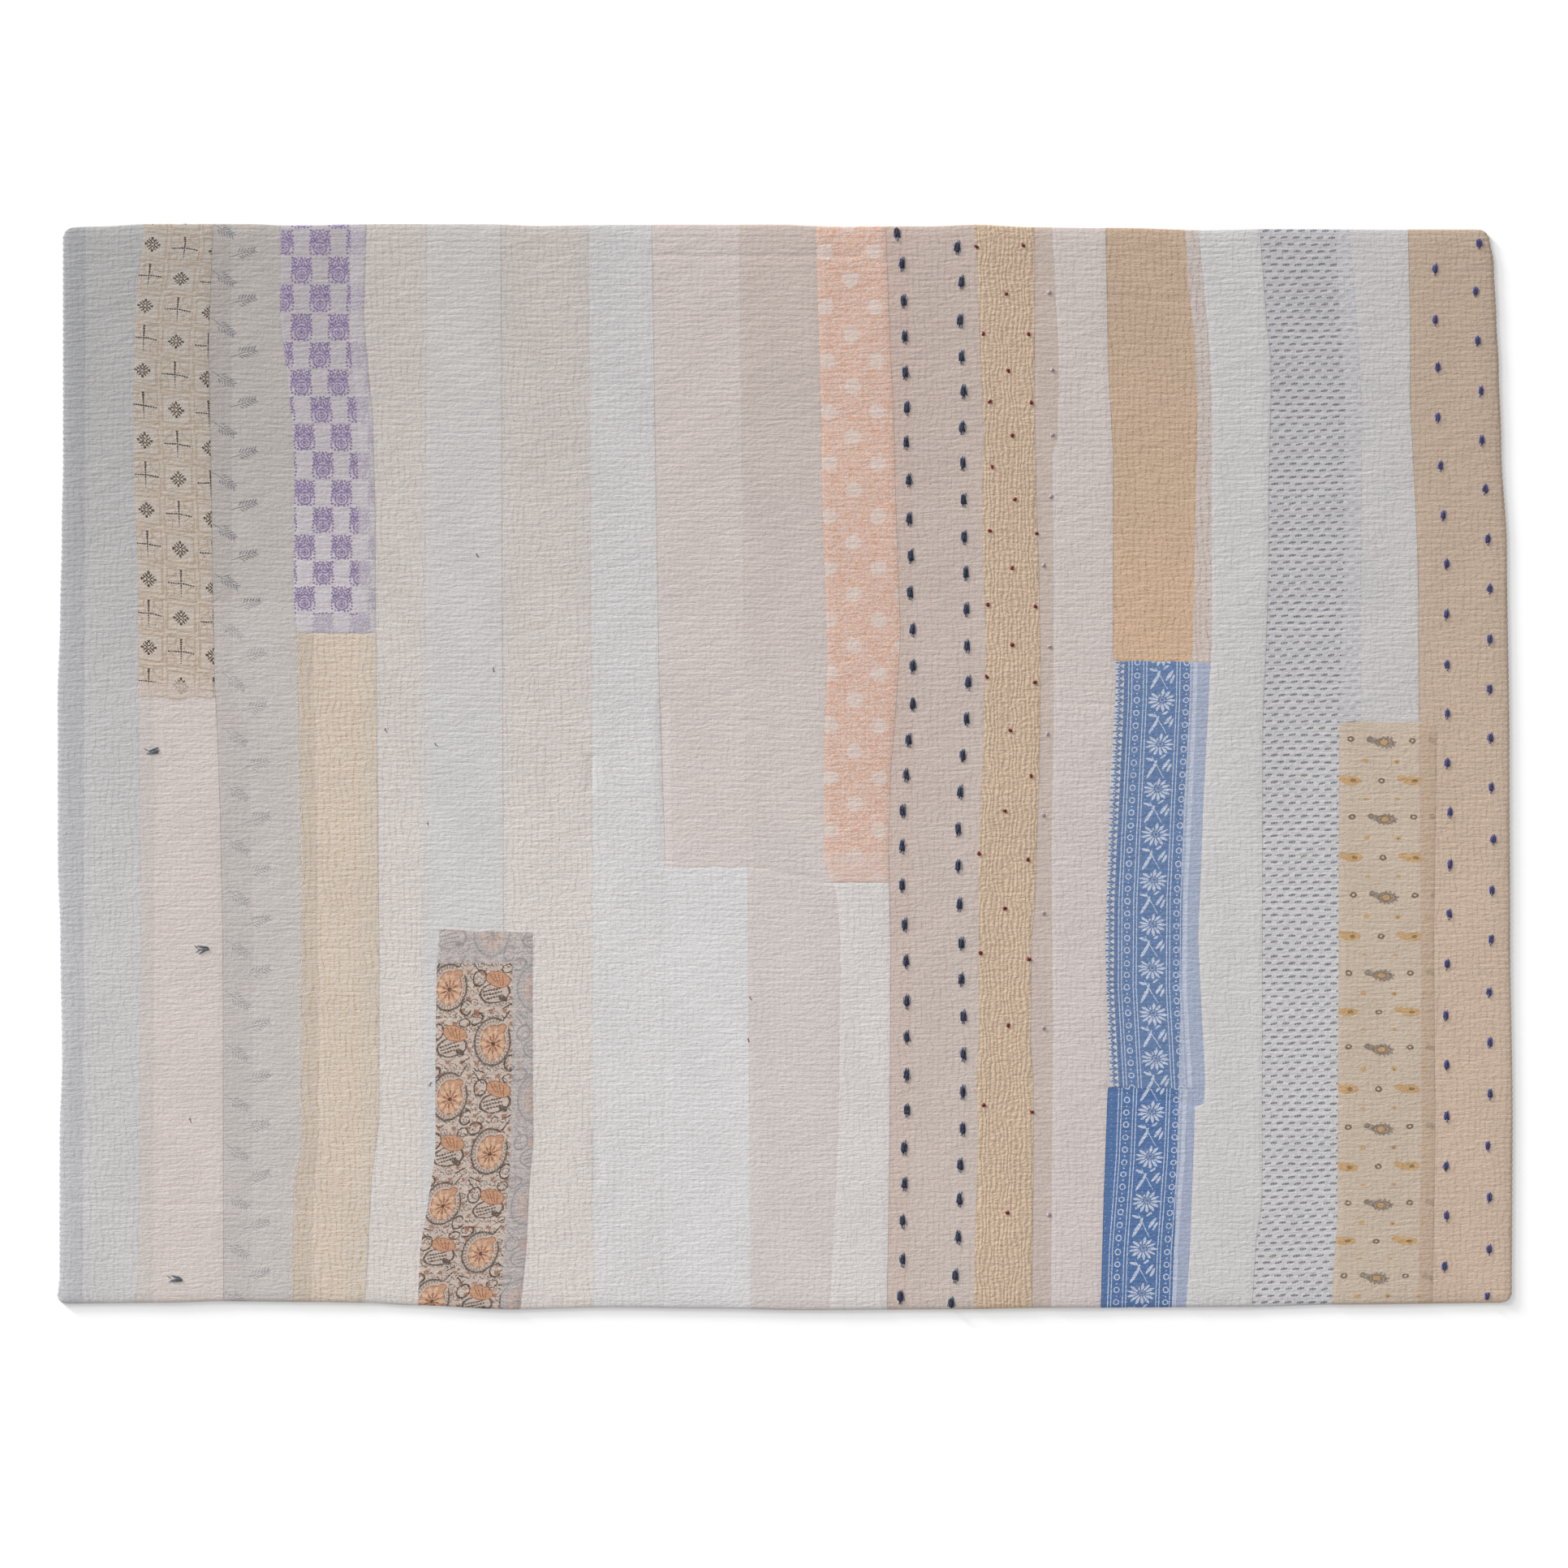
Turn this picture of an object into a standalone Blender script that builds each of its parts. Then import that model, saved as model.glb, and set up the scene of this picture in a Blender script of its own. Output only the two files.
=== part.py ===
"""Kantha quilt laid out flat: worn cloth strips stitched into one soft, thin slab.

Frame: metres, +X along the long side, +Y along the strips, +Z up. The origin is
the centre of the quilt's outline, on the flat underside that it rests on.

The quilt is one thing, so it is one closed solid. Its underside is flat. Its
upper face is a sheet of stitch rows: each row is a pinched line that runs the
length of the quilt, with a puffed ridge up to the next one. The rows waver, the
sides are scalloped by them, lapped seams stand a little proud, and a few creases
and tucks are soft troughs.
"""

import math
from typing import NamedTuple

import bmesh
import bpy

MM = 0.001

# Driving dimensions, in millimetres.
LENGTH = 2154.0
WIDTH = 1606.0
STITCH_ROWS = 177
RIDGE_HEIGHT = 4.3
PINCH_HEIGHT = 2.9
RIM_HEIGHT = 2.2
RIM_SLOPE = 11.0
SCALLOP = 1.1
CORNER_RADIUS = 15.0
# The waver of the rows fades to nothing at the ends as this power of a sine.
WAVER_FADE = 0.25

CLOTH_COLOUR = (0.62, 0.56, 0.53, 1.0)
CLOTH_ROUGHNESS = 0.95


class Station(NamedTuple):
    """How far one side of the outline is drawn in, at a distance along it (mm)."""

    at: float
    inset: float


class Seam(NamedTuple):
    """A line along the quilt's width, and how proud the cloth stands there (mm)."""

    at: float
    lift: float


class Waver(NamedTuple):
    """One wave of the stitch rows: its size and length (mm), and its turns (radians)."""

    size: float
    length: float
    turn_per_row: float
    turn: float


class Swell(NamedTuple):
    """One slow swell of the upper face: its size and its lengths each way (mm)."""

    size: float
    length_x: float
    length_y: float
    turn: float


class Crease(NamedTuple):
    """A soft trough in the upper face, from one end to the other (mm)."""

    start_x: float
    start_y: float
    end_x: float
    end_y: float
    depth: float
    half_width: float


# The left and right sides, read from the near corner (-Y) to the far one (+Y).
LEFT_SIDE = (
    Station(0, 0.5),
    Station(45, 4.5),
    Station(245, 4.5),
    Station(365, 8.0),
    Station(545, 5.5),
    Station(670, 1.8),
    Station(905, 1.8),
    Station(1025, 5.5),
    Station(1145, 8.0),
    Station(1265, 10.0),
    Station(1606, 10.0),
)
RIGHT_SIDE = (
    Station(0, 1.2),
    Station(275, 0.0),
    Station(545, 3.6),
    Station(830, 4.8),
    Station(1125, 8.4),
    Station(1280, 16.8),
    Station(1395, 20.4),
    Station(1470, 24.0),
    Station(1548, 27.6),
    Station(1606, 36.0),
)
# The near and far ends, read from the left corner (-X) to the right one (+X).
NEAR_END = (
    Station(0, 9.6),
    Station(170, 11.0),
    Station(242, 13.2),
    Station(385, 12.0),
    Station(460, 10.8),
    Station(530, 7.2),
    Station(675, 1.2),
    Station(820, 4.2),
    Station(965, 2.4),
    Station(1106, 0.0),
    Station(1325, 1.2),
    Station(1470, 3.6),
    Station(1755, 4.8),
    Station(1900, 8.4),
    Station(2154, 10.8),
)
FAR_END = (
    Station(0, 6.0),
    Station(62, 3.6),
    Station(135, 0.0),
    Station(280, 0.0),
    Station(350, 2.4),
    Station(495, 0.0),
    Station(640, 0.0),
    Station(710, 2.4),
    Station(860, 0.6),
    Station(1070, 0.6),
    Station(1145, 3.6),
    Station(1290, 3.6),
    Station(1360, 1.2),
    Station(1440, 4.8),
    Station(1575, 6.0),
    Station(1690, 9.0),
    Station(1790, 7.2),
    Station(2154, 8.4),
)

# Lines where strips lap, from the left corner. The cloth is single, and so lower,
# at the third and fourth, and the fourth and fifth carry two of the creases below.
SEAMS = (
    Seam(124, 0.2),
    Seam(340, 0.5),
    Seam(550, -0.1),
    Seam(793, -0.2),
    Seam(896, 0.2),
    Seam(1128, 0.5),
    Seam(1368, 0.7),
    Seam(1556, 0.5),
    Seam(1790, 0.3),
    Seam(2012, 0.5),
)

WAVERS = (Waver(1.55, 940, 0.045, 0.0), Waver(0.85, 430, 0.21, 1.3))
SWELLS = (Swell(0.35, 1070, 815, 0.4), Swell(0.18, 385, 295, 1.9))

# Measured from the middle of the quilt.
CREASES = (
    Crease(-197, 757, 113, 755, 0.8, 9),
    Crease(-60, 68, -4, 52, 0.7, 8),
    Crease(-181, 97, -177, -139, 1.1, 12),
    Crease(-284, 12, -286, -35, 1.2, 12),
    Crease(406, 95, 486, 93, 0.6, 7),
    Crease(475, 694, 600, 690, 0.6, 7),
    Crease(-60, -144, 60, -168, 0.7, 9),
    Crease(470, -478, 610, -500, 0.9, 8),
    Crease(-1060, -640, -700, -655, 0.5, 8),
    Crease(-280, -540, -276, -610, 1.0, 12),
)


def along(stations: tuple[Station, ...], at: float) -> float:
    """The inset of a side at a distance along it, eased between its stations."""
    for near, far in zip(stations, stations[1:]):
        if at <= far.at:
            share = max(0.0, (at - near.at) / (far.at - near.at))
            return near.inset + (far.inset - near.inset) * share * share * (3 - 2 * share)
    return stations[-1].inset


def corner_inset(to_end: float) -> float:
    """How far a rounded corner draws a side in, this far from the end of the side."""
    if to_end >= CORNER_RADIUS:
        return 0.0
    reach = CORNER_RADIUS - to_end
    return CORNER_RADIUS - math.sqrt(CORNER_RADIUS**2 - reach**2)


def column_lines() -> list[float]:
    """The mesh's lines across the width: both rims, their slopes and the seams."""
    return [0.0, RIM_SLOPE, *(seam.at for seam in SEAMS), LENGTH - RIM_SLOPE, LENGTH]


def waver(x: float, row: float) -> float:
    """How far a stitch row strays from straight, at x along it (mm)."""
    return sum(
        wave.size * math.sin(math.tau * x / wave.length + wave.turn_per_row * row + wave.turn)
        for wave in WAVERS
    )


def plan_point(x: float, line: int, lines: int) -> tuple[float, float]:
    """Where a mesh point lies in plan, from the near left corner (mm).

    Args:
        x: The column line's distance along the quilt.
        line: The point's line, counted from the near end.
        lines: The last line's number.
    """
    share = line / lines
    y = WIDTH * share
    scallop = SCALLOP if line % 2 == 0 else 0.0
    corner = corner_inset(min(y, WIDTH - y))
    left = along(LEFT_SIDE, y) + corner + scallop
    right = LENGTH - along(RIGHT_SIDE, y) - corner - scallop
    near = along(NEAR_END, x)
    far = WIDTH - along(FAR_END, x)
    fade = max(0.0, math.sin(math.pi * share)) ** WAVER_FADE if 0 < line < lines else 0.0
    drift = waver(x, line / 2) * fade
    return left + (right - left) * x / LENGTH, near + (far - near) * share + drift


def crease_depth(x: float, y: float) -> float:
    """How far the creases push the upper face down at a point (mm, from the middle)."""
    depth = 0.0
    for crease in CREASES:
        run_x = crease.end_x - crease.start_x
        run_y = crease.end_y - crease.start_y
        share = ((x - crease.start_x) * run_x + (y - crease.start_y) * run_y) / (run_x**2 + run_y**2)
        share = min(1.0, max(0.0, share))
        away = math.hypot(x - crease.start_x - share * run_x, y - crease.start_y - share * run_y)
        depth = max(depth, crease.depth * math.exp(-((away / crease.half_width) ** 2)))
    return depth


def height(column: int, columns: int, line: int, lines: int, x: float, y: float) -> float:
    """The upper face's height at a mesh point (mm): rim, pinched line or ridge."""
    if column in (0, columns) or line in (0, lines):
        return RIM_HEIGHT
    base = PINCH_HEIGHT if line % 2 == 0 else RIDGE_HEIGHT
    lift = SEAMS[column - 2].lift if 1 < column < columns - 1 else 0.0
    swell = sum(
        wave.size
        * math.sin(math.tau * x / wave.length_x + wave.turn)
        * math.sin(math.tau * y / wave.length_y + wave.turn)
        for wave in SWELLS
    )
    return base + lift + swell - crease_depth(x, y)


def quilt_mesh() -> bpy.types.Mesh:
    """The quilt's closed mesh: stitched face, rim all round and flat underside."""
    columns = column_lines()
    lines = 2 * STITCH_ROWS
    build = bmesh.new()
    bmesh.ops.create_grid(build, x_segments=len(columns) - 1, y_segments=lines, size=1.0)
    points = sorted(build.verts, key=lambda point: (round(point.co.y, 6), point.co.x))
    for number, point in enumerate(points):
        line, column = divmod(number, len(columns))
        x, y = plan_point(columns[column], line, lines)
        x, y = x - LENGTH / 2, y - WIDTH / 2
        z = height(column, len(columns) - 1, line, lines, x, y)
        point.co = (x * MM, y * MM, z * MM)
    rim = [edge for edge in build.edges if edge.is_boundary]
    walls = bmesh.ops.extrude_edge_only(build, edges=rim)["geom"]
    for item in walls:
        if isinstance(item, bmesh.types.BMVert):
            item.co.z = 0.0
    bmesh.ops.holes_fill(build, edges=[edge for edge in build.edges if edge.is_boundary])
    bmesh.ops.recalc_face_normals(build, faces=build.faces)
    centre_on_origin(build)
    mesh = bpy.data.meshes.new("quilt")
    build.to_mesh(mesh)
    build.free()
    mesh.shade_flat()
    return mesh


def centre_on_origin(build: bmesh.types.BMesh) -> None:
    """Shifts the mesh so that its outline's box is centred on the origin."""
    for axis in (0, 1):
        values = [point.co[axis] for point in build.verts]
        middle = (min(values) + max(values)) / 2
        for point in build.verts:
            point.co[axis] -= middle


def cloth_material() -> bpy.types.Material:
    """Matt, many-coloured worn cotton, as the strips' mean colour."""
    material = bpy.data.materials.new("quilted_cotton")
    material.use_nodes = True
    shader = material.node_tree.nodes["Principled BSDF"]
    shader.inputs["Base Color"].default_value = CLOTH_COLOUR
    shader.inputs["Roughness"].default_value = CLOTH_ROUGHNESS
    shader.inputs["Metallic"].default_value = 0.0
    return material


def main() -> None:
    """Clears the scene and builds the quilt."""
    for old in list(bpy.data.objects):
        bpy.data.objects.remove(old, do_unlink=True)
    quilt = bpy.data.objects.new("quilt", quilt_mesh())
    quilt.data.materials.append(cloth_material())
    bpy.context.scene.collection.objects.link(quilt)


main()
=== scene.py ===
"""Kantha quilt laid out flat: worn cloth strips, their prints, running stitch and tufts.

Tables are in millimetres: x from the quilt's left side and down from its far end, as
it lies under the camera. Rows of running stitch are counted from the far end too.
The cloth strips are thin sheets that all lie on one surface, the quilt's puffed rows.
"""

import logging
import math
from dataclasses import dataclass, field, replace
from enum import Enum
from typing import NamedTuple

import bmesh
import bpy
import numpy as np
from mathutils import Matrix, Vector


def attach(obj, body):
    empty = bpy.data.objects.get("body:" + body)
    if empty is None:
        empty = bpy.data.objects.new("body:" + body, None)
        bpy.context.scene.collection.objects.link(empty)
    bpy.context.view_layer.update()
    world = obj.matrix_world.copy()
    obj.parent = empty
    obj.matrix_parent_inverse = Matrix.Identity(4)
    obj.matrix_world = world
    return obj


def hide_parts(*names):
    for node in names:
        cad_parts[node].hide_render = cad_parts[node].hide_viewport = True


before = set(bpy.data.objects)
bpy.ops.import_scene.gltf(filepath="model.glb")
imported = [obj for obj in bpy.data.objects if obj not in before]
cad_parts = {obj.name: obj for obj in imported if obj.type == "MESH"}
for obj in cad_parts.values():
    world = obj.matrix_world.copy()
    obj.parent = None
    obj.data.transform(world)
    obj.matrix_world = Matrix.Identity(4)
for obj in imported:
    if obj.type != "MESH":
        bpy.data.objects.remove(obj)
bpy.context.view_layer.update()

log = logging.getLogger("kantha_quilt")

MM = 0.001
LENGTH = 2154.0
WIDTH = 1606.0
ROWS = 177
PITCH = WIDTH / ROWS
# The puffed cloth between two rows, and the cloth where a row holds it down.
RIDGE = 0.25
PINCH = 3.55
# The cloth turns under along every side on this radius.
ROLL = 1.7
STITCH_STEP = 9.1
CORNER = 15.0
SCALLOP = 1.1
# The mesh's lines near a turned edge: distances inside the side, less than 0 under it.
TURNED = (-3.64, -2.7, -1.8, -0.9, 0.0, 0.85, ROLL)
# A puff's roundness, and how the slow waver fades at the ends, as powers of a sine.
PUFF_POWER = 0.55
WAVER_FADE = 0.25
# A ridge's size at the far end, and what it has lost by the near one, as shares of RIDGE.
FAR_RIDGE = 1.3
RIDGE_LOSS = 0.65
# The hem lies lower by this share, and the drop fades over this distance.
HEM_DROP = 0.3
HEM_REACH = 6.0
# A lapped strip rises from its folded rim to its full lift over this distance.
RIM_LIFT = 0.12
RIM_REACH = 5.0
# A distance in mm that stands for "nowhere near", where a strip has no such side or band.
OUTSIDE = 99.0


class Station(NamedTuple):
    """A distance along a line, and the line's place across it there."""

    at: float
    across: float


Line = tuple[Station, ...]
Maps = dict[str, tuple[np.ndarray, np.ndarray]]


def line(*pairs: tuple[float, float]) -> Line:
    """The stations of a line from (at, across) pairs."""
    return tuple(Station(*pair) for pair in pairs)


# How far each side is drawn in: the sides from the near end up, the ends from the left.
LEFT_SIDE = line(
    (0, 0.5), (45, 4.5), (245, 4.5), (365, 8), (545, 5.5), (670, 1.8), (905, 1.8),
    (1025, 5.5), (1145, 8), (1265, 10), (1606, 10),
)
RIGHT_SIDE = line(
    (0, 1.2), (275, 0), (545, 3.6), (830, 4.8), (1125, 8.4), (1280, 16.8), (1395, 20.4),
    (1470, 24), (1548, 27.6), (1606, 36),
)
NEAR_END = line(
    (0, 9.6), (170, 11), (242, 13.2), (385, 12), (460, 10.8), (530, 7.2), (675, 1.2),
    (820, 4.2), (965, 2.4), (1106, 0), (1325, 1.2), (1470, 3.6), (1755, 4.8), (1900, 8.4),
    (2154, 10.8),
)
FAR_END = line(
    (0, 6), (62, 3.6), (135, 0), (280, 0), (350, 2.4), (495, 0), (640, 0), (710, 2.4),
    (860, 0.6), (1070, 0.6), (1145, 3.6), (1290, 3.6), (1360, 1.2), (1440, 4.8),
    (1575, 6), (1690, 9), (1790, 7.2), (2154, 8.4),
)

# Where each seam runs: (down, x).
GREY_RIGHT = line(
    (8, 130), (121, 118), (269, 115), (413, 117), (509, 122), (709, 123), (1061, 127),
    (1265, 124), (1541, 122), (1595, 119),
)
LATTICE_RIGHT = line(
    (8, 232), (185, 226), (389, 230), (533, 232), (682, 235), (749, 239), (869, 243),
    (1061, 247), (1595, 248),
)
SPRIG_RIGHT = line(
    (8, 333), (143, 332), (185, 338), (251, 345), (298, 350), (368, 353), (551, 352),
    (629, 357), (869, 362), (1061, 363), (1373, 363), (1409, 353), (1595, 347),
)
BOUQUET_RIGHT = line(
    (8, 459), (143, 455), (197, 460), (298, 469), (413, 472), (577, 473), (869, 476),
    (1061, 478), (1325, 478), (1409, 467), (1595, 457),
)
SPRIG_BAND = line((8, 259), (700, 262), (740, 285), (1061, 293), (1595, 290))
CREAM_TAN = line((607, 381), (1061, 388), (1373, 388), (1421, 381), (1595, 379))
CREAM_PINK = line((607, 451), (1061, 454), (1373, 453), (1421, 436), (1595, 431))
PINK_BAND = line((709, 146), (1595, 145))
DASH_BAND = line((8, 1262), (700, 1268), (1595, 1262))
BOUQUET_VEIL = line((8, 436), (185, 436), (269, 445), (389, 448), (577, 449))
FAINT_1 = line((8, 549), (1595, 542))
FAINT_2 = line((8, 658), (1595, 664))
FAINT_3 = line((8, 788), (749, 793), (1595, 795))
FAINT_4 = line((8, 881), (689, 892), (941, 901), (1595, 899))
FAINT_5 = line((8, 1010), (509, 1017), (989, 1023), (1595, 1028))
PEACH_LEFT = line(
    (8, 1124), (192, 1129), (293, 1132), (401, 1133), (509, 1137), (641, 1141),
    (749, 1136), (941, 1136), (989, 1154), (1061, 1160), (1349, 1157), (1595, 1145),
)
PEACH_RIGHT = line(
    (8, 1227), (149, 1232), (269, 1238), (389, 1241), (509, 1245), (605, 1249),
    (701, 1243), (809, 1234), (929, 1231), (1061, 1234), (1349, 1233), (1595, 1229),
)
DASH_RIGHT = line(
    (8, 1358), (65, 1363), (192, 1366), (305, 1373), (389, 1370), (497, 1371),
    (617, 1375), (701, 1373), (809, 1370), (929, 1364), (1205, 1365), (1265, 1361),
    (1349, 1364), (1541, 1358), (1595, 1358),
)
CREPE_RIGHT = line(
    (8, 1447), (269, 1447), (389, 1449), (497, 1453), (653, 1456), (809, 1454),
    (917, 1450), (1013, 1447), (1061, 1442), (1217, 1441), (1265, 1445), (1409, 1445),
    (1595, 1443),
)
SHEER_RIGHT = line(
    (8, 1473), (209, 1483), (317, 1481), (341, 1473), (509, 1475), (749, 1475),
    (917, 1472), (1229, 1474), (1595, 1471),
)
BLUSH_RIGHT = line(
    (8, 1552), (209, 1556), (341, 1563), (629, 1563), (677, 1567), (821, 1558),
    (965, 1555), (1061, 1551), (1265, 1558), (1283, 1555), (1445, 1549), (1595, 1545),
)
AMBER_VEIL = line(
    (8, 1670), (77, 1673), (161, 1683), (269, 1688), (413, 1685), (629, 1681),
    (641, 1678), (749, 1675), (869, 1667), (1049, 1665), (1229, 1661), (1277, 1660),
    (1595, 1652),
)
AMBER_RIGHT = line(
    (8, 1689), (149, 1703), (245, 1709), (629, 1709), (665, 1706), (749, 1702),
    (869, 1696), (1061, 1689), (1265, 1699), (1301, 1697), (1305, 1684), (1349, 1683),
    (1529, 1676), (1595, 1671),
)
WHITE_RIGHT = line(
    (8, 1780), (149, 1790), (197, 1796), (269, 1796), (389, 1793), (509, 1793),
    (629, 1789), (749, 1784), (1445, 1783), (1505, 1774), (1595, 1769),
)
MOTIF_VEIL = line(
    (8, 1892), (149, 1899), (245, 1906), (509, 1906), (701, 1899), (749, 1897),
    (1469, 1895), (1565, 1888), (1595, 1887),
)
MOTIF_RIGHT = line(
    (8, 1912), (149, 1924), (269, 1931), (509, 1930), (736, 1929), (740, 1898),
    (1469, 1895), (1565, 1888), (1595, 1887),
)
PAISLEY_VEIL = line((738, 2015), (1061, 2018), (1349, 2019), (1595, 2014))
TAN_LEFT = line(
    (8, 1999), (149, 2002), (269, 2002), (341, 2006), (461, 2012), (533, 2014),
    (736, 2015), (740, 2041), (1061, 2037), (1349, 2039), (1595, 2035),
)
FLORAL_LEFT = line(
    (1049, 567), (1097, 563), (1229, 561), (1373, 561), (1421, 554), (1517, 539), (1603, 535)
)
FLORAL_VEIL = line((1049, 675), (1229, 675), (1397, 671), (1493, 664), (1603, 657))
FLORAL_RIGHT = line(
    (1049, 705), (1229, 705), (1349, 706), (1421, 700), (1517, 695), (1603, 686)
)


class Crease(NamedTuple):
    """A soft trough in the upper face, from one end to the other."""

    start_x: float
    start_down: float
    end_x: float
    end_down: float
    depth: float
    half_width: float


CREASES = (
    Crease(880, 46, 1190, 48, 0.4, 5),
    Crease(1017, 735, 1073, 751, 0.35, 5),
    Crease(896, 706, 900, 942, 0.55, 6),
    Crease(793, 791, 791, 838, 0.6, 6),
    Crease(1483, 708, 1563, 710, 0.3, 4),
    Crease(1552, 109, 1677, 113, 0.3, 5),
    Crease(1017, 947, 1137, 971, 0.35, 5),
    Crease(1547, 1281, 1687, 1303, 0.45, 5),
    Crease(17, 1443, 377, 1458, 0.25, 5),
    Crease(797, 1343, 801, 1413, 0.5, 6),
)


class Wave(NamedTuple):
    """One wave in the rows: size and length (mm), turn from row to row, and start."""

    size: float
    length: float
    turn_per_row: float
    turn: float


SLOW_WAVES = (Wave(1.55, 940, -0.045, 0.0), Wave(0.85, 430, -0.21, 1.3))
# The hand's own waver: no two rows run quite alike.
HAND_WAVES = (
    Wave(0.34, 73, 0.83, 0.4),
    Wave(0.30, 51, 1.37, 2.1),
    Wave(0.27, 37, -1.13, 4.0),
    Wave(0.30, 112, 0.51, 5.2),
    Wave(0.22, 27, 2.03, 1.1),
)
# Where the thread runs slack, the trough of a row almost fades.
SLACK_WAVES = (
    Wave(0.34, 83, 2.1, 0.2),
    Wave(0.30, 46, -1.7, 2.9),
    Wave(0.26, 131, 2.9, 4.4),
)
SLACK_MEAN = 0.25
SLACK_MOST = 0.85
# How the puffs swell and thin along a row.
PUFF_WAVES = (
    Wave(0.16, 61, 1.9, 0.7),
    Wave(0.13, 37, -2.3, 3.3),
    Wave(0.10, 23, 2.7, 5.9),
    Wave(0.09, 148, 0.7, 2.5),
)
# The cloth's slow swell lies in squares: one wave along, times one down.
SWELL_ALONG = (Wave(0.35, 1070, 0.0, 0.4),)
SWELL_DOWN = (Wave(1.0, 815, 0.0, 0.9),)

Socket = bpy.types.NodeSocket
Colour = tuple[float, float, float, float]


def eased(stations: Line, at: np.ndarray) -> np.ndarray:
    """A line's place at distances along it, eased between its stations.

    Args:
        stations: The line.
        at: The distances along it.

    Returns:
        The line's place across, at each distance.
    """
    table = np.array(stations)
    first = np.clip(np.searchsorted(table[:, 0], at) - 1, 0, len(table) - 2)
    near, far = table[first], table[first + 1]
    share = np.clip((at - near[..., 0]) / (far[..., 0] - near[..., 0]), 0.0, 1.0)
    return near[..., 1] + (far[..., 1] - near[..., 1]) * share**2 * (3 - 2 * share)


def straight(stations: Line, at: np.ndarray) -> np.ndarray:
    """A line's place at distances along it, straight between its stations."""
    table = np.array(stations)
    return np.interp(at, table[:, 0], table[:, 1])


def waves(kinds: tuple[Wave, ...], x: np.ndarray, row: np.ndarray) -> np.ndarray:
    """The sum of some waves at x along a row."""
    return sum(
        kind.size * np.sin(math.tau * x / kind.length + kind.turn_per_row * row + kind.turn)
        for kind in kinds
    )


def linear(hex_colour: str) -> Colour:
    """Turns a colour's sRGB value into the linear one that a shader takes.

    Args:
        hex_colour: The colour as a hash and six hex digits.

    Returns:
        Its linear red, green and blue, and full opacity.
    """
    parts = (int(hex_colour[at : at + 2], 16) / 255 for at in (1, 3, 5))
    light = (part / 12.92 if part <= 0.04045 else ((part + 0.055) / 1.055) ** 2.4 for part in parts)
    return (*light, 1.0)


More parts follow.
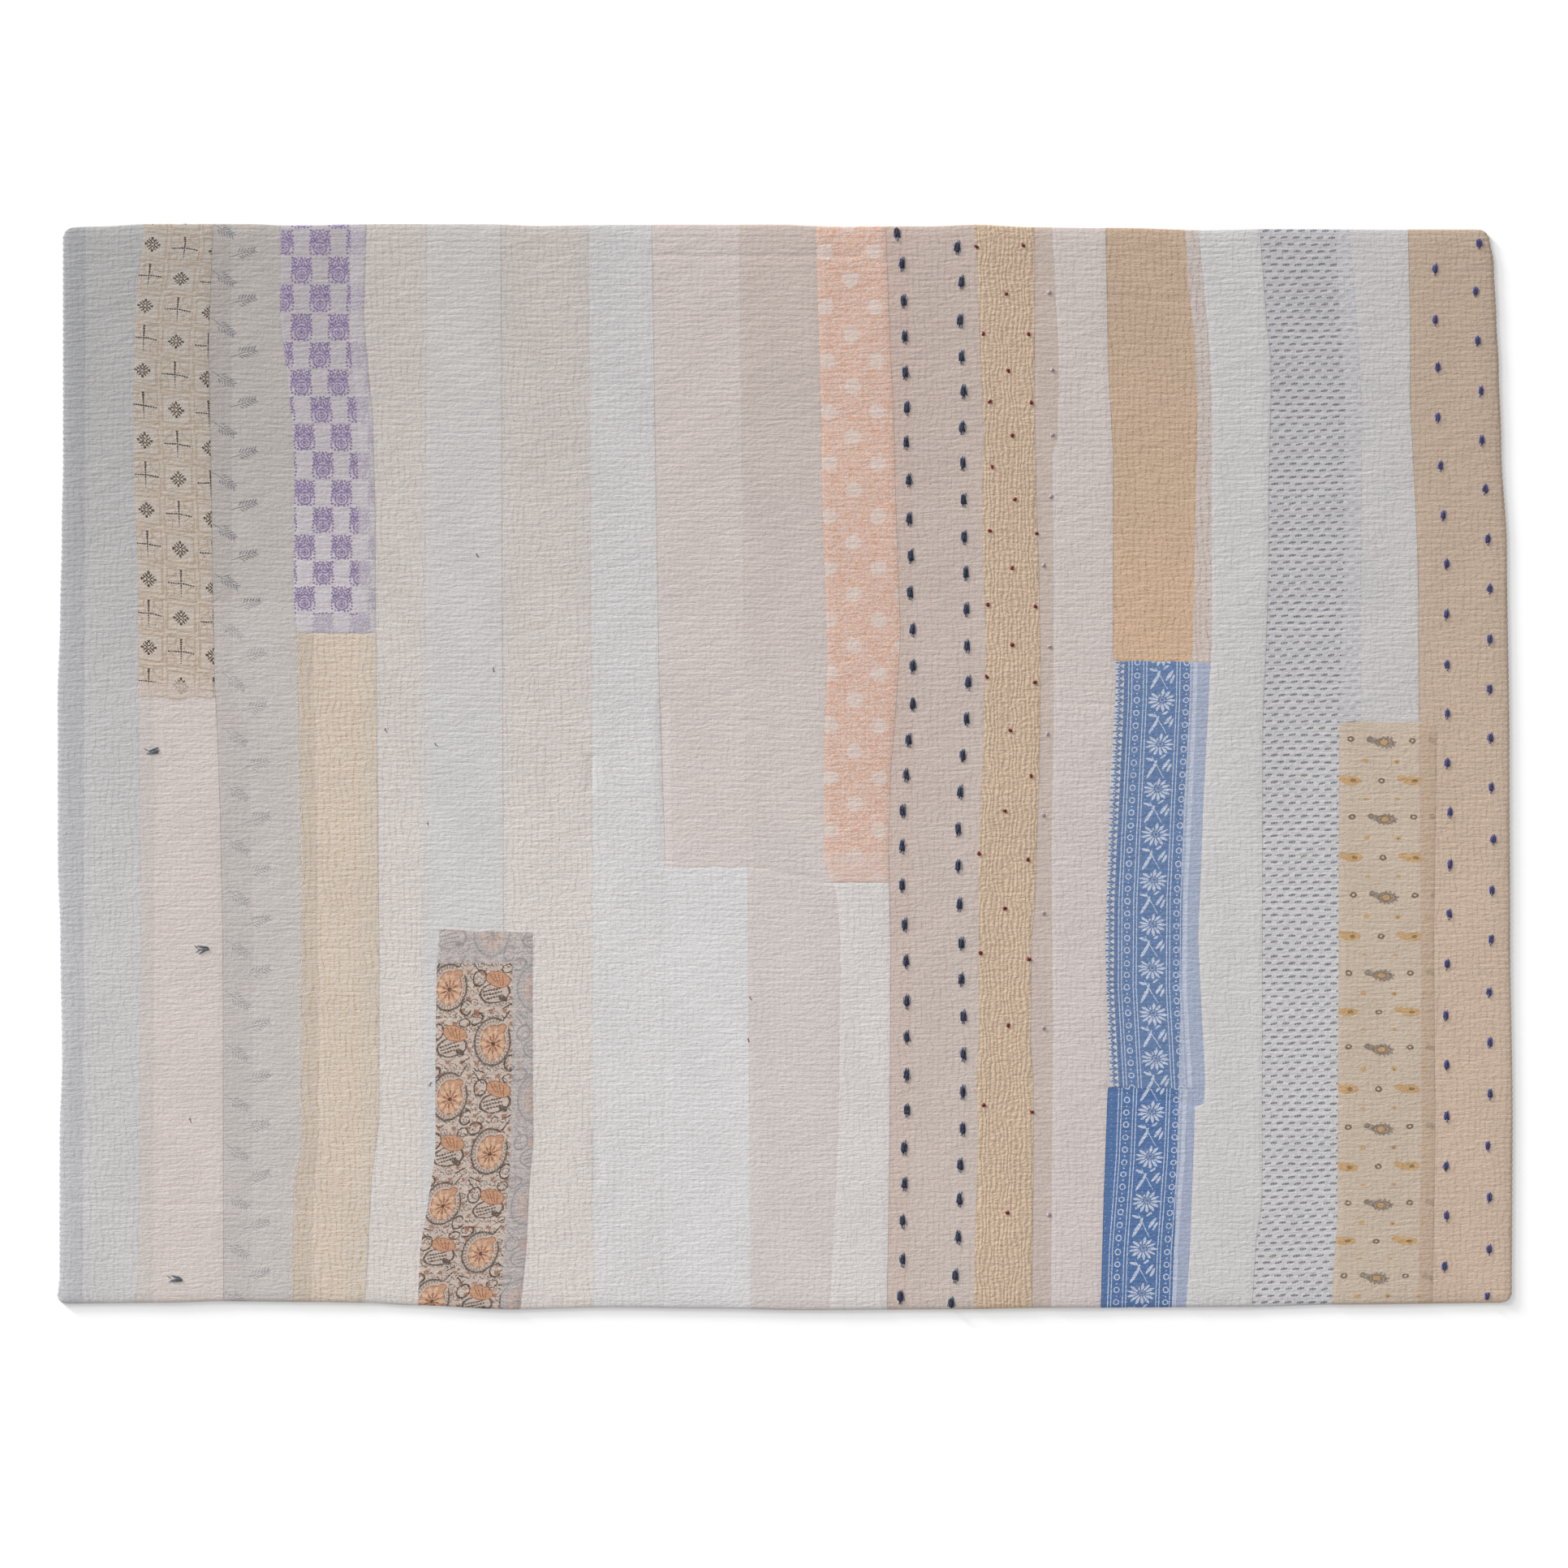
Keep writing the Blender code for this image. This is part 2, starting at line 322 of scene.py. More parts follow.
@dataclass(frozen=True)
class QuiltFace:
    """The quilt's shape: where a point of cloth lies, from its x and its stitch row."""

    length: float = LENGTH
    width: float = WIDTH
    rows: int = ROWS

    def sides(self, row: np.ndarray) -> tuple[np.ndarray, np.ndarray]:
        """The outline at a row, rounded at the corners and scalloped.

        Args:
            row: Stitch rows from the far end.

        Returns:
            The x of the left side, and of the right one.
        """
        held = np.clip(row, 0.0, self.rows)
        up = self.width * (1 - held / self.rows)
        reach = np.clip(CORNER - np.minimum(up, self.width - up), 0.0, CORNER)
        inset = CORNER - np.sqrt(CORNER**2 - reach**2) + SCALLOP * (1 - self.puff(held))
        return eased(LEFT_SIDE, up) + inset, self.length - eased(RIGHT_SIDE, up) - inset

    def puff(self, row: np.ndarray) -> np.ndarray:
        """How far the cloth is from being held down, from 0 at a row to 1 between two."""
        return np.sin(np.pi * (row - np.floor(row))) ** PUFF_POWER

    def ends(self, x: np.ndarray) -> tuple[np.ndarray, np.ndarray]:
        """How far the near and far ends are drawn in at x."""
        return eased(NEAR_END, x), eased(FAR_END, x)

    def down_at(self, x: np.ndarray, row: np.ndarray) -> np.ndarray:
        """How far down a row lies at x, without the waver."""
        near, far = self.ends(x)
        return far + (self.width - near - far) * row / self.rows

    def plan(self, x: np.ndarray, row: np.ndarray) -> np.ndarray:
        """How far down a row lies, with its waver.

        Args:
            x: Distances along it from the left side.
            row: Stitch rows from the far end.

        Returns:
            The distances down from the far end.
        """
        share = np.clip(row / self.rows, 0.0, 1.0)
        fade = np.sin(np.pi * share) ** WAVER_FADE
        # The hand's waver grows over the first two rows from each end.
        hand = np.clip(np.minimum(row, self.rows - row) / 2.0, 0.0, 1.0)
        drift = waves(SLOW_WAVES, x, self.rows - row) * fade + waves(HAND_WAVES, x, row) * hand
        return self.down_at(x, row) - drift

    def row_under(self, x: np.ndarray, down: np.ndarray) -> np.ndarray:
        """The row, with its waver, that lies under a point.

        Args:
            x: The point's distance from the left side.
            down: How far down it lies.

        Returns:
            Its stitch row from the far end.
        """
        near, far = self.ends(x)
        row = (down - far) / (self.width - near - far) * self.rows
        for _ in range(2):
            row = row - (self.plan(x, row) - down) / PITCH
        return row

    def top(self, x: np.ndarray, row: np.ndarray) -> np.ndarray:
        """The upper surface's height, for the lowest strips.

        Args:
            x: Distances from the left side.
            row: Stitch rows from the far end.

        Returns:
            The heights, in mm.
        """
        down = self.down_at(x, row)
        puff = self.puff(row)
        slack = np.clip(SLACK_MEAN + waves(SLACK_WAVES, x, np.rint(row)), 0.0, SLACK_MOST)
        # Wear and washing have flattened the near half more than the far one.
        ridge = RIDGE * (FAR_RIDGE - RIDGE_LOSS * np.clip(down / self.width, 0.0, 1.0))
        height = PINCH + ridge * ((1 + waves(PUFF_WAVES, x, row)) * puff + slack * (1 - puff))
        height += waves(SWELL_ALONG, x, row) * waves(SWELL_DOWN, down, row)
        left, right = self.sides(row)
        edge = np.minimum(np.minimum(x - left, right - x), np.minimum(row, self.rows - row) * PITCH)
        height *= 1 - HEM_DROP * np.exp(-np.clip(edge, 0.0, None) / HEM_REACH)
        return height - self.crease_depth(x, down)

    def crease_depth(self, x: np.ndarray, down: np.ndarray) -> np.ndarray:
        """How far the creases push the surface down.

        Args:
            x: Distances from the left side.
            down: Distances from the far end.

        Returns:
            The depths, in mm.
        """
        depth = np.zeros_like(x, dtype=float)
        for crease in CREASES:
            run_x, run_d = crease.end_x - crease.start_x, crease.end_down - crease.start_down
            share = (x - crease.start_x) * run_x + (down - crease.start_down) * run_d
            share = np.clip(share / (run_x**2 + run_d**2), 0.0, 1.0)
            away = np.hypot(x - crease.start_x - share * run_x, down - crease.start_down - share * run_d)
            depth = np.maximum(depth, crease.depth * np.exp(-((away / crease.half_width) ** 2)))
        return depth

    def rolled(self, edge: np.ndarray) -> tuple[np.ndarray, np.ndarray]:
        """How cloth near a side turns under it.

        Args:
            edge: The cloth's distance to the side, less than nothing where it is under it.

        Returns:
            The distance to the side in plan, and the share of the full height.
        """
        turn = np.clip((edge + (math.pi - 1) * ROLL) / ROLL, 0.0, math.pi)
        inset = np.where(edge < ROLL, ROLL * (1 - np.sin(turn)), edge)
        return inset, (1 - np.cos(turn)) / 2

    def seat(self, x: np.ndarray, row: np.ndarray, height: np.ndarray) -> np.ndarray:
        """Points in the frame, in metres, from their x, row and height."""
        return MM * np.stack([x - self.length / 2, self.width / 2 - self.plan(x, row), height], axis=-1)

    def place(self, x: np.ndarray, row: np.ndarray, lift: np.ndarray | float = 0.0) -> np.ndarray:
        """Where points of cloth lie in the frame, in metres.

        Args:
            x: Distances from the left side. They may run past a side, under the quilt.
            row: Stitch rows from the far end, which may run past an end too.
            lift: How far above the lowest strips the cloth lies, in mm.

        Returns:
            The points, one to a row.
        """
        left, right = self.sides(row)
        to_left, to_right = x - left, right - x
        inset_x, share_x = self.rolled(np.minimum(to_left, to_right))
        x = np.where(to_left < to_right, left + inset_x, right - inset_x)
        inset_d, share_d = self.rolled(np.minimum(row, self.rows - row) * PITCH)
        row = np.where(row < self.rows / 2, inset_d / PITCH, self.rows - inset_d / PITCH)
        return self.seat(x, row, (self.top(x, row) + lift) * share_x * share_d)


FACE = QuiltFace()


class Form(Enum):
    """The shapes that a printer's block is cut in."""

    DISC = "filled round"
    RING = "round outline"
    BAR = "filled box with soft corners"
    BOX = "box outline"
    ROSETTE = "filled flower"
    STAR = "leaves round a middle"
    BEADS = "row of beads"


class Stagger(Enum):
    """How a repeat is laid next to itself."""

    NONE = "square"
    ROWS = "alternate rows half a repeat along"
    COLUMNS = "alternate columns half a repeat down"


class Mark(NamedTuple):
    """One shape of a print: its middle and half sizes (mm), and its turn (degrees).

    `detail` is an outline's half thickness as a share of its size, how many beads half a
    row has, or a flower's petals.
    """

    form: Form
    x: float
    down: float
    half_x: float
    half_down: float
    turn: float = 0.0
    detail: float = 0.1


class Ink(NamedTuple):
    """One colour of a print, how strongly it took, and its shapes."""

    colour: str
    strength: float
    marks: tuple[Mark, ...]


def ink(colour: str, strength: float, **shapes: tuple[tuple[float, ...], ...]) -> Ink:
    """An ink whose marks are listed by form, each as a row of a Mark's numbers.

    Args:
        colour: The ink's hex colour.
        strength: How strongly it took.
        shapes: For a form's name in small letters, the rows of its marks.

    Returns:
        The ink with its marks.
    """
    rows = ((Form[name.upper()], row) for name, table in shapes.items() for row in table)
    return Ink(colour, strength, tuple(Mark(form, *row) for form, row in rows))


@dataclass(frozen=True)
class Repeat:
    """A block print's repeat: its size, where its cell starts, how it is staggered, its inks.

    `mirrored` folds the cell on its upright middle line, so that one shape prints two.
    """

    across: float
    down: float
    start_x: float
    start_down: float
    inks: tuple[Ink, ...]
    stagger: Stagger = Stagger.NONE
    mirrored: bool = False
    wander: float = 1.0


class Cloud(NamedTuple):
    """Soft random patches: their sizes (mm), the noise levels where they start and are full.

    `layers` is how many finer layers the noise has.
    """

    size_x: float
    size_down: float
    low: float
    high: float
    layers: float = 2.0


# Where a print's ink took, and the cloth's threads, drawn some 1.5 mm thick so that they show.
INK_WORN = Cloud(2.4, 2.4, 0.12, 0.46)
WEFT = Cloud(26, 1.5, 0.3, 0.7, 1.0)
WARP = Cloud(1.5, 24, 0.3, 0.7, 1.0)
# Patches where the dye has gone, crinkles along the rows, and puckers between stitches.
FADED = Cloud(70, 95, 0.25, 0.75)
CRINKLE = Cloud(17, 3.2, 0.3, 0.7)
PUCKER = Cloud(6.5, 4.2, 0.32, 0.68)
# How columns of stitches and of ribs sway, and where dimples, held rows and specks show.
COLUMN_SWAY = Cloud(45, 70, 0.2, 0.8)
RIB_SWAY = Cloud(26, 48, 0.2, 0.8)
DIMPLED = Cloud(9, 26, 0.38, 0.62)
HELD = Cloud(24, 5, 0.38, 0.6)
SPECKED = Cloud(2.6, 2.2, 0.54, 0.62)
# Half widths of a row's painted shade line, a column of dimples, specks and a rib, as shares of a step.
ROW_LINE = 0.17
DIMPLE_LINE = 0.22
SPECK_LINE = 0.3
RIB_LINE = 0.4
RIB_STEP = 6.6
# The row down to which the far colour's painted shade still shows.
FAR_SHADE_ROW = 130.0
# A scribble's loops (mm), half its lines' width in the noise, and how strong lines and ground are.
SCRIBBLE_SIZES = (5.2, 7.4)
SCRIBBLE_HALF = 0.045
SCRIBBLE_LINES = 0.75
SCRIBBLE_GROUND = 0.14
# How much of a fleck's colour a speck takes, for a share of 1.
FLECK_STRENGTH = 2.8
# How dark the painted shade is in the dimples that draw a waffled cloth into squares, and in those of any
# other.
WAFFLE_SQUARES = 0.085
PLAIN_SQUARES = 0.025
# The light that flat cloth keeps where no painted shade falls, and how high it puckers in the relief.
UNSHADED_CLOTH = 0.985
CREPE_PUCKER = 2.0
PLAIN_PUCKER = 0.75
# The relief stands this far out for a height of 1, and shades the cloth this strongly.
RELIEF_DEPTH = 0.5
RELIEF_STRENGTH = 0.3



def add_node(
    tree: bpy.types.NodeTree, kind: str, *values: object, output: int | str = 0, named: dict | None = None,
    **settings: object,
) -> Socket | None:
    """Adds a node to a tree, sets it up and joins its inputs.

    Args:
        tree: The tree to add to.
        kind: The node's type, with its operation after a point where it has one.
        values: A value or another node's output for each of its first inputs.
        output: The name or number of the output to return.
        named: Values or outputs for further inputs, by name or number.
        settings: The node's own settings.

    Returns:
        The chosen output, or None for a node that has none.
    """
    kind, _, operation = kind.partition(".")
    made = tree.nodes.new(kind)
    if operation:
        made.operation = operation
    for name, value in settings.items():
        setattr(made, name, value)
    for name, value in (*enumerate(values), *(named or {}).items()):
        if isinstance(value, Socket):
            tree.links.new(value, made.inputs[name])
        else:
            made.inputs[name].default_value = value
    return made.outputs[output] if len(made.outputs) else None


def linked(name: str, data: bpy.types.ID) -> bpy.types.Object:
    """Puts a new object with some data in the scene.

    Args:
        name: The object's name.
        data: The mesh, lamp or camera that it shows.

    Returns:
        The object, at the origin.
    """
    made = bpy.data.objects.new(name, data)
    bpy.context.scene.collection.objects.link(made)
    return made


class Draft:
    """A material while it is being drawn."""

    def __init__(self, name: str, roughness: float, gloss: float, sheen: float = 0.0) -> None:
        """Starts a material with its shader.

        Args:
            name: The material's name.
            roughness: How matt it is.
            gloss: Its specular level.
            sheen: How much bloom its loose fibres give.
        """
        self.material = bpy.data.materials.new(name)
        self.material.use_nodes = True
        self.tree = self.material.node_tree
        self.shader = self.tree.nodes["Principled BSDF"]
        self.shader.inputs["Roughness"].default_value = roughness
        self.shader.inputs["Specular IOR Level"].default_value = gloss
        self.shader.inputs["Sheen Weight"].default_value = sheen

    def finished(self, colour: Socket, bump: Socket | None = None) -> bpy.types.Material:
        """Joins the material's colour and relief to its shader.

        Args:
            colour: The colour at each point.
            bump: The relief's normal, where it has one.

        Returns:
            The material.
        """
        for name, value in (("Base Color", colour), ("Normal", bump)):
            if value:
                self.tree.links.new(value, self.shader.inputs[name])
        return self.material

    def add(self, kind: str, *values: object, **settings: object) -> Socket:
        """Adds a shader node, named without its prefix, as `add_node` does."""
        return add_node(self.tree, "ShaderNode" + kind, *values, **settings)

    def parts(self, place: Socket) -> tuple[Socket, Socket]:
        """A place's two numbers, as outputs of their own."""
        return tuple(self.add("SeparateXYZ", place, output=part) for part in (0, 1))

    def cloud(self, place: Socket, cloud: Cloud) -> Socket:
        """Soft random patches, as a share that runs from 0 to 1.

        Args:
            place: Where each point lies, in mm.
            cloud: The patches' sizes and levels.

        Returns:
            The share at each point.
        """
        sizes = (1 / cloud.size_x, 1 / cloud.size_down, 1)
        scaled = self.add("Mapping", place, named={"Scale": sizes})
        named = {"Scale": 1.0, "Detail": cloud.layers}
        noise = self.add("TexNoise", scaled, named=named, noise_dimensions="2D")
        return self.add("MapRange", noise, cloud.low, cloud.high, interpolation_type="SMOOTHSTEP")

    def product(self, *numbers: Socket | float) -> Socket:
        """The product of some numbers, such as the share where several shares hold.

        Args:
            numbers: The numbers, the first of them a node's output.

        Returns:
            Their product.
        """
        total, *others = numbers
        for number in others:
            total = self.add("Math.MULTIPLY", total, number)
        return total

    def weighed(self, *parts: tuple[Socket, float]) -> Socket:
        """The sum of some numbers.

        Args:
            parts: Each number and its weight in the sum.

        Returns:
            The sum.
        """
        total = 0.0
        for number, weight in parts:
            total = self.add("Math.MULTIPLY_ADD", number, weight, total)
        return total

    def dyed(self, colour: Socket | Colour, *layers: tuple[Socket | Colour, Socket | float, str]) -> Socket:
        """A colour with others laid over it in turn.

        Args:
            colour: The lowest colour.
            layers: Each colour laid on, its share, and how it blends.

        Returns:
            The colour that shows.
        """
        for ink_colour, share, blend in layers:
            named = {6: colour, 7: ink_colour}
            colour = self.add("Mix", share, named=named, output=2, data_type="RGBA", blend_type=blend)
        return colour

    def near_line(self, number: Socket, half: float) -> Socket:
        """A share that is 1 where a number is whole and 0 from `half` away."""
        return self.add("MapRange", self.add("Math.PINGPONG", number, 0.5), 0.0, half, 1.0, 0.0)

    def cell(self, place: Socket, repeat: Repeat) -> Socket:
        """Finds where a point lies within one cell of a print.

        Args:
            place: The point's place on the cloth.
            repeat: The print's repeat.

        Returns:
            Its place from the cell's main mark.
        """
        start, step = (repeat.start_x, repeat.start_down), (repeat.across, repeat.down)
        if repeat.stagger is not Stagger.NONE:
            ways = list(self.parts(place))
            lane = int(repeat.stagger is Stagger.ROWS)
            slid = 1 - lane
            number = self.product(self.add("Math.ADD", ways[lane], -start[lane]), 1 / step[lane])
            odd = self.add("Math.FLOORED_MODULO", self.add("Math.FLOOR", number), 2.0)
            ways[slid] = self.add("Math.MULTIPLY_ADD", odd, step[slid] / 2, ways[slid])
            place = self.add("CombineXYZ", *ways)
        high = (start[0] + step[0], start[1] + step[1], 1.0)
        return self.add("VectorMath.WRAP", place, high, (*start, -1.0))

    def stamped(self, place: Socket, mark: Mark) -> Socket:
        """Draws one mark.

        Args:
            place: Each point's place in the cell.
            mark: The mark.

        Returns:
            The share that it covers, 1 inside its shape.
        """
        turn, sizes = (0, 0, math.radians(mark.turn)), (mark.half_x, mark.half_down, 1)
        scaled = self.add("Mapping", place, (mark.x, mark.down, 0), turn, sizes, vector_type="TEXTURE")
        if mark.form is Form.BAR:
            scaled = self.add("VectorMath.MULTIPLY", scaled, scaled)
        reach = self.add("VectorMath.LENGTH", scaled, output=1)
        if mark.form in (Form.DISC, Form.BAR, Form.RING):
            return self.bounded(mark, reach)
        across, down = self.parts(scaled)
        if mark.form in (Form.BOX, Form.BEADS):
            along, side = (self.add("Math.ABSOLUTE", part) for part in (across, down))
            if mark.form is Form.BOX:
                return self.bounded(mark, self.add("Math.MAXIMUM", along, side))
            wave = self.add("Math.COSINE", self.product(across, math.pi * mark.detail))
            bead = self.add("Math.MULTIPLY_ADD", wave, 0.35, 0.65)
            within = self.add("Math.LESS_THAN", along, 1.0)
            return self.product(self.add("Math.LESS_THAN", side, bead), within)
        angle = self.product(self.add("Math.ARCTAN2", down, across), float(mark.detail))
        wave = self.add("Math.COSINE", angle)
        pinch = self.add("Math.MULTIPLY_ADD", wave, -0.2, 1.0)
        leaf = self.bounded(mark, self.product(reach, pinch))
        if mark.form is Form.ROSETTE:
            return leaf
        return self.product(leaf, self.add("Math.GREATER_THAN", wave, -0.5))

    def bounded(self, mark: Mark, reach: Socket) -> Socket:
        """The share inside a mark's bound, or along it where the mark is an outline.

        Args:
            mark: The mark.
            reach: How far each point is from its middle, 1 on its bound.

        Returns:
            The share at each point.
        """
        if mark.form in (Form.RING, Form.BOX):
            return self.add("Math.COMPARE", reach, 1.0, mark.detail)
        return self.add("Math.LESS_THAN", reach, 1.0)

    def printed(self, colour: Socket, place: Socket, repeat: Repeat) -> Socket:
        """Prints one repeat's inks, a little uneven as block prints are.

        Args:
            colour: The cloth's colour below.
            place: Each point's place on the print.
            repeat: The print's repeat.

        Returns:
            The colour with the inks over it.
        """
        coarse = {"Scale": 0.3, "Detail": 1.0}
        stray = self.add("TexNoise", place, output=1, named=coarse, noise_dimensions="2D")
        stray = self.add("VectorMath.SUBTRACT", stray, (0.5, 0.5, 0.5))
        stray = self.add("VectorMath.SCALE", stray, named={"Scale": repeat.wander * 2.2})
        cell = self.cell(self.add("VectorMath.ADD", place, stray), repeat)
        if repeat.mirrored:
            across, down = self.parts(cell)
            cell = self.add("CombineXYZ", self.add("Math.ABSOLUTE", across), down)
        worn = self.cloud(place, INK_WORN)
        for one in repeat.inks:
            covered, *others = (self.stamped(cell, mark) for mark in one.marks)
            for share in others:
                covered = self.add("Math.MAXIMUM", covered, share)
            share = self.product(covered, worn, one.strength)
            colour = self.dyed(colour, (linear(one.colour), share, "MIX"))
        return colour


class Weave(Enum):
    """How a strip's own cloth is woven."""

    PLAIN = "plain, its threads just showing"
    WAFFLE = "plain, drawn into squares by the stitches"
    CREPE = "crinkled into upright ribs"


@dataclass(frozen=True)
class Cotton:
    """Plain woven cotton, worn soft: matt, mottled, with painted shade where each row holds it down.

    `near` and `far` are its colours towards the two ends; the change between them is painted light, mostly
    painted shade towards the far end, where less light falls.
    A tint is multiplied with a band along a side, where another cloth shows from below.
    """

    name: str
    near: str
    far: str
    fleck: str = "#a8948a"
    fleck_share: float = 0.12
    weave: Weave = Weave.PLAIN
    # How strong the painted shade along each held row is.
    row_shade: float = 0.05
    repeats: tuple[Repeat, ...] = ()
    veil: str = ""
    veil_share: float = 0.6
    left_tint: str = ""
    right_tint: str = ""
    scribble: str = ""

    def material(self) -> bpy.types.Material:
        """Draws the cloth's material.

        Returns:
            The material.
        """
        # Cotton scatters light all ways, with a faint bloom of loose fibres.
        draft = Draft(self.name, 0.94, 0.15, 0.05)
        maps = ("print", "rows", "cover", "bands")
        place, along, cover, bands = (draft.add("UVMap", uv_map=name) for name in maps)
        row = draft.parts(along)[1]
        beyond, rim = draft.parts(cover)
        # Painted shade: the cloth is darker towards the far end, where less light falls.
        far_shade = draft.add("MapRange", row, 0.0, FAR_SHADE_ROW, 1.0, 0.0, interpolation_type="SMOOTHSTEP")
        colour = draft.dyed(linear(self.near), (linear(self.far), far_shade, "MIX"))
        for tint, side in zip((self.left_tint, self.right_tint), draft.parts(bands)):
            if tint:
                within = draft.add("MapRange", side, -0.6, 0.6)
                colour = draft.dyed(colour, (linear(tint), within, "MULTIPLY"))
        if self.scribble:
            colour = self.scribbled(draft, place, colour)
        for repeat in self.repeats:
            colour = draft.printed(colour, place, repeat)
        if self.veil:
            # A thin cloth laid over the print lets it through as a pale ghost.
            over = draft.product(draft.add("MapRange", beyond, -0.4, 0.4), self.veil_share)
            colour = draft.dyed(colour, (linear(self.veil), over, "MIX"))
        return self.finish(draft, colour, along, rim)

    def scribbled(self, draft: Draft, place: Socket, colour: Socket) -> Socket:
        """Draws a close scribble of ink all over: a vermicelli of lines about 1.5 mm thick.

        Args:
            draft: The cloth's material.
            place: Each point's place on the print.
            colour: The colour below.

        Returns:
            The colour with the scribble over it.
        """
        ink_colour = linear(self.scribble)
        colour = draft.dyed(colour, (ink_colour, SCRIBBLE_GROUND, "MIX"))
        # The lines run where a cloud crosses its middle level.
        for size in SCRIBBLE_SIZES:
            scaled = draft.add("Mapping", place, named={"Scale": (1 / size, 1.3 / size, 1)})
            fine = {"Scale": 1.0, "Detail": 1.0}
            noise = draft.add("TexNoise", scaled, named=fine, noise_dimensions="2D")
            lines = draft.add("Math.COMPARE", noise, 0.5, SCRIBBLE_HALF)
            colour = draft.dyed(colour, (ink_colour, draft.product(lines, SCRIBBLE_LINES), "MIX"))
        return colour

    def finish(self, draft: Draft, colour: Socket, along: Socket, rim: Socket) -> bpy.types.Material:
        """Wears the cloth: flecks, threads, painted shade in held rows, dimples, the folded rim and hem,
        painted highlights on crinkles, and relief.

        Args:
            draft: The cloth's material.
            colour: Its colour so far.
            along: Each point's x, in mm, and its row.
            rim: How far it is inside the strip's rim, in mm.

        Returns:
            The finished material.
        """
        x, row = draft.parts(along)
        # Rows as millimetres, so that clouds and threads have true sizes.
        flat = draft.add("Mapping", along, named={"Scale": (1, PITCH, 1)})
        threads = draft.add("Math.ADD", draft.cloud(flat, WEFT), draft.cloud(flat, WARP))
        crinkle, pucker = draft.cloud(flat, CRINKLE), draft.cloud(flat, PUCKER)
        # Each stitch pulls the cloth in: a column of dimples down the quilt, sunk in the relief and darkened
        # with painted shade.
        column = draft.weighed((x, 1 / STITCH_STEP), (draft.cloud(flat, COLUMN_SWAY), 1.1))
        columns = draft.product(draft.near_line(column, DIMPLE_LINE), draft.cloud(flat, DIMPLED))
        # The thread holds each row down in runs: a trough with a painted shade line that comes and goes.
        held = draft.product(draft.near_line(row, ROW_LINE), draft.cloud(flat, HELD))
        # Slubs and worn dots of colour, where a stitch has rubbed.
        specks = draft.product(draft.near_line(column, SPECK_LINE), draft.cloud(flat, SPECKED))
        specks = draft.product(specks, self.fleck_share * FLECK_STRENGTH)
        colour = draft.dyed(colour, (linear(self.fleck), specks, "MIX"))
        squares = WAFFLE_SQUARES if self.weave is Weave.WAFFLE else PLAIN_SQUARES
        # Painted shade along folded rims and the far hem, where the turned cloth slopes away from the light.
        rim_shade = draft.add("MapRange", rim, 0.0, 1.9, 0.05, 0.0)
        hem_shade = draft.add("MapRange", row, 0.15, 0.5, 0.12, 0.0)
        # Painted shade in held rows, dimples, rims and the hem, less a painted highlight where the cloth
        # crinkles.
        dark = draft.weighed(
            (held, self.row_shade), (columns, squares), (rim_shade, 1.0), (hem_shade, 1.0), (crinkle, -0.045)
        )
        worn = draft.add("MapRange", draft.cloud(flat, FADED), 0, 1, 0.975, 1.02)
        woven = draft.add("MapRange", threads, 0, 2, 0.98, 1.02)
        light = draft.product(draft.add("Math.SUBTRACT", UNSHADED_CLOTH, dark), woven, worn)
        crepe = self.weave is Weave.CREPE
        puckered = CREPE_PUCKER if crepe else PLAIN_PUCKER
        relief = draft.weighed(
            (threads, 0.10), (crinkle, 0.8), (pucker, puckered), (columns, -5 * squares), (held, -0.4)
        )
        if crepe:
            # Upright ribs, drawn together where the rows cross them, sunk in the relief; painted shade
            # darkens them, with painted highlights between them and on the puckers.
            rib = draft.weighed((x, 1 / RIB_STEP), (draft.cloud(flat, RIB_SWAY), 1.1))
            ribs = draft.near_line(rib, RIB_LINE)
            rib_shade = draft.add("MapRange", ribs, 0, 1, 1.06, 0.88)
            light = draft.product(light, rib_shade, draft.add("MapRange", pucker, 0, 1, 0.93, 1.08))
            relief = draft.add("Math.MULTIPLY_ADD", ribs, -1.8, relief)
        shade = draft.add("CombineXYZ", light, light, light)
        colour = draft.dyed(colour, (shade, 1.0, "MULTIPLY"))
        heights = {"Strength": RELIEF_STRENGTH, "Distance": RELIEF_DEPTH * MM, "Height": relief}
        return draft.finished(colour, draft.add("Bump", named=heights))


LATTICE = Repeat(
    48, 103.2, -24, -51.6,
    (
        ink(
            "#a18c73", 0.58,
            box=((0, 0, 20, 20, 0, 0.07), (14, 36, 6.5, 6.5, 0, 0.16), (15, -35, 5, 5, 0, 0.2)),
            bar=(
                (22, -36, 1.2, 15), (12, -27, 12, 1.2), (12, 27, 12, 1.2), (13, 42, 11, 1.1, 45),
                (13, -46, 11, 1.1, -45), (22.4, 12, 0.9, 8), (8, 31.5, 8, 0.9), (8, -31.5, 8, 0.9),
                (21, 44, 0.9, 8), (5, 47, 0.9, 5),
            ),
        ),
        # Two strokes to each side of every diagonal, and an arrowhead at each tip.
        ink(
            "#4b4037", 1.0,
            bar=(
                (2.9, 5.2, 4.4, 0.95, 52), (5.2, 2.9, 4.4, 0.95, 38), (2.9, -5.2, 4.4, 0.95, -52),
                (5.2, -2.9, 4.4, 0.95, -38), (0, 10, 1.8, 1.8, 45), (0, -10, 1.8, 1.8, 45),
                (10.2, 0, 1.8, 1.8, 45), (1.3, 7.5, 1.9, 0.75, -52), (1.3, -7.5, 1.9, 0.75, 52),
                (7.6, 1.3, 1.9, 0.75, -38), (7.6, -1.3, 1.9, 0.75, 38),
            ),
            beads=(
                (0, 51.6, 20, 1.4, 4, 11), (0, -51.6, 20, 1.4, 4, 11), (0, 51.6, 20, 1.4, 92, 11),
                (0, -51.6, 20, 1.4, 92, 11),
            ),
        ),
    ),
    Stagger.COLUMNS, True, 0.5,
)


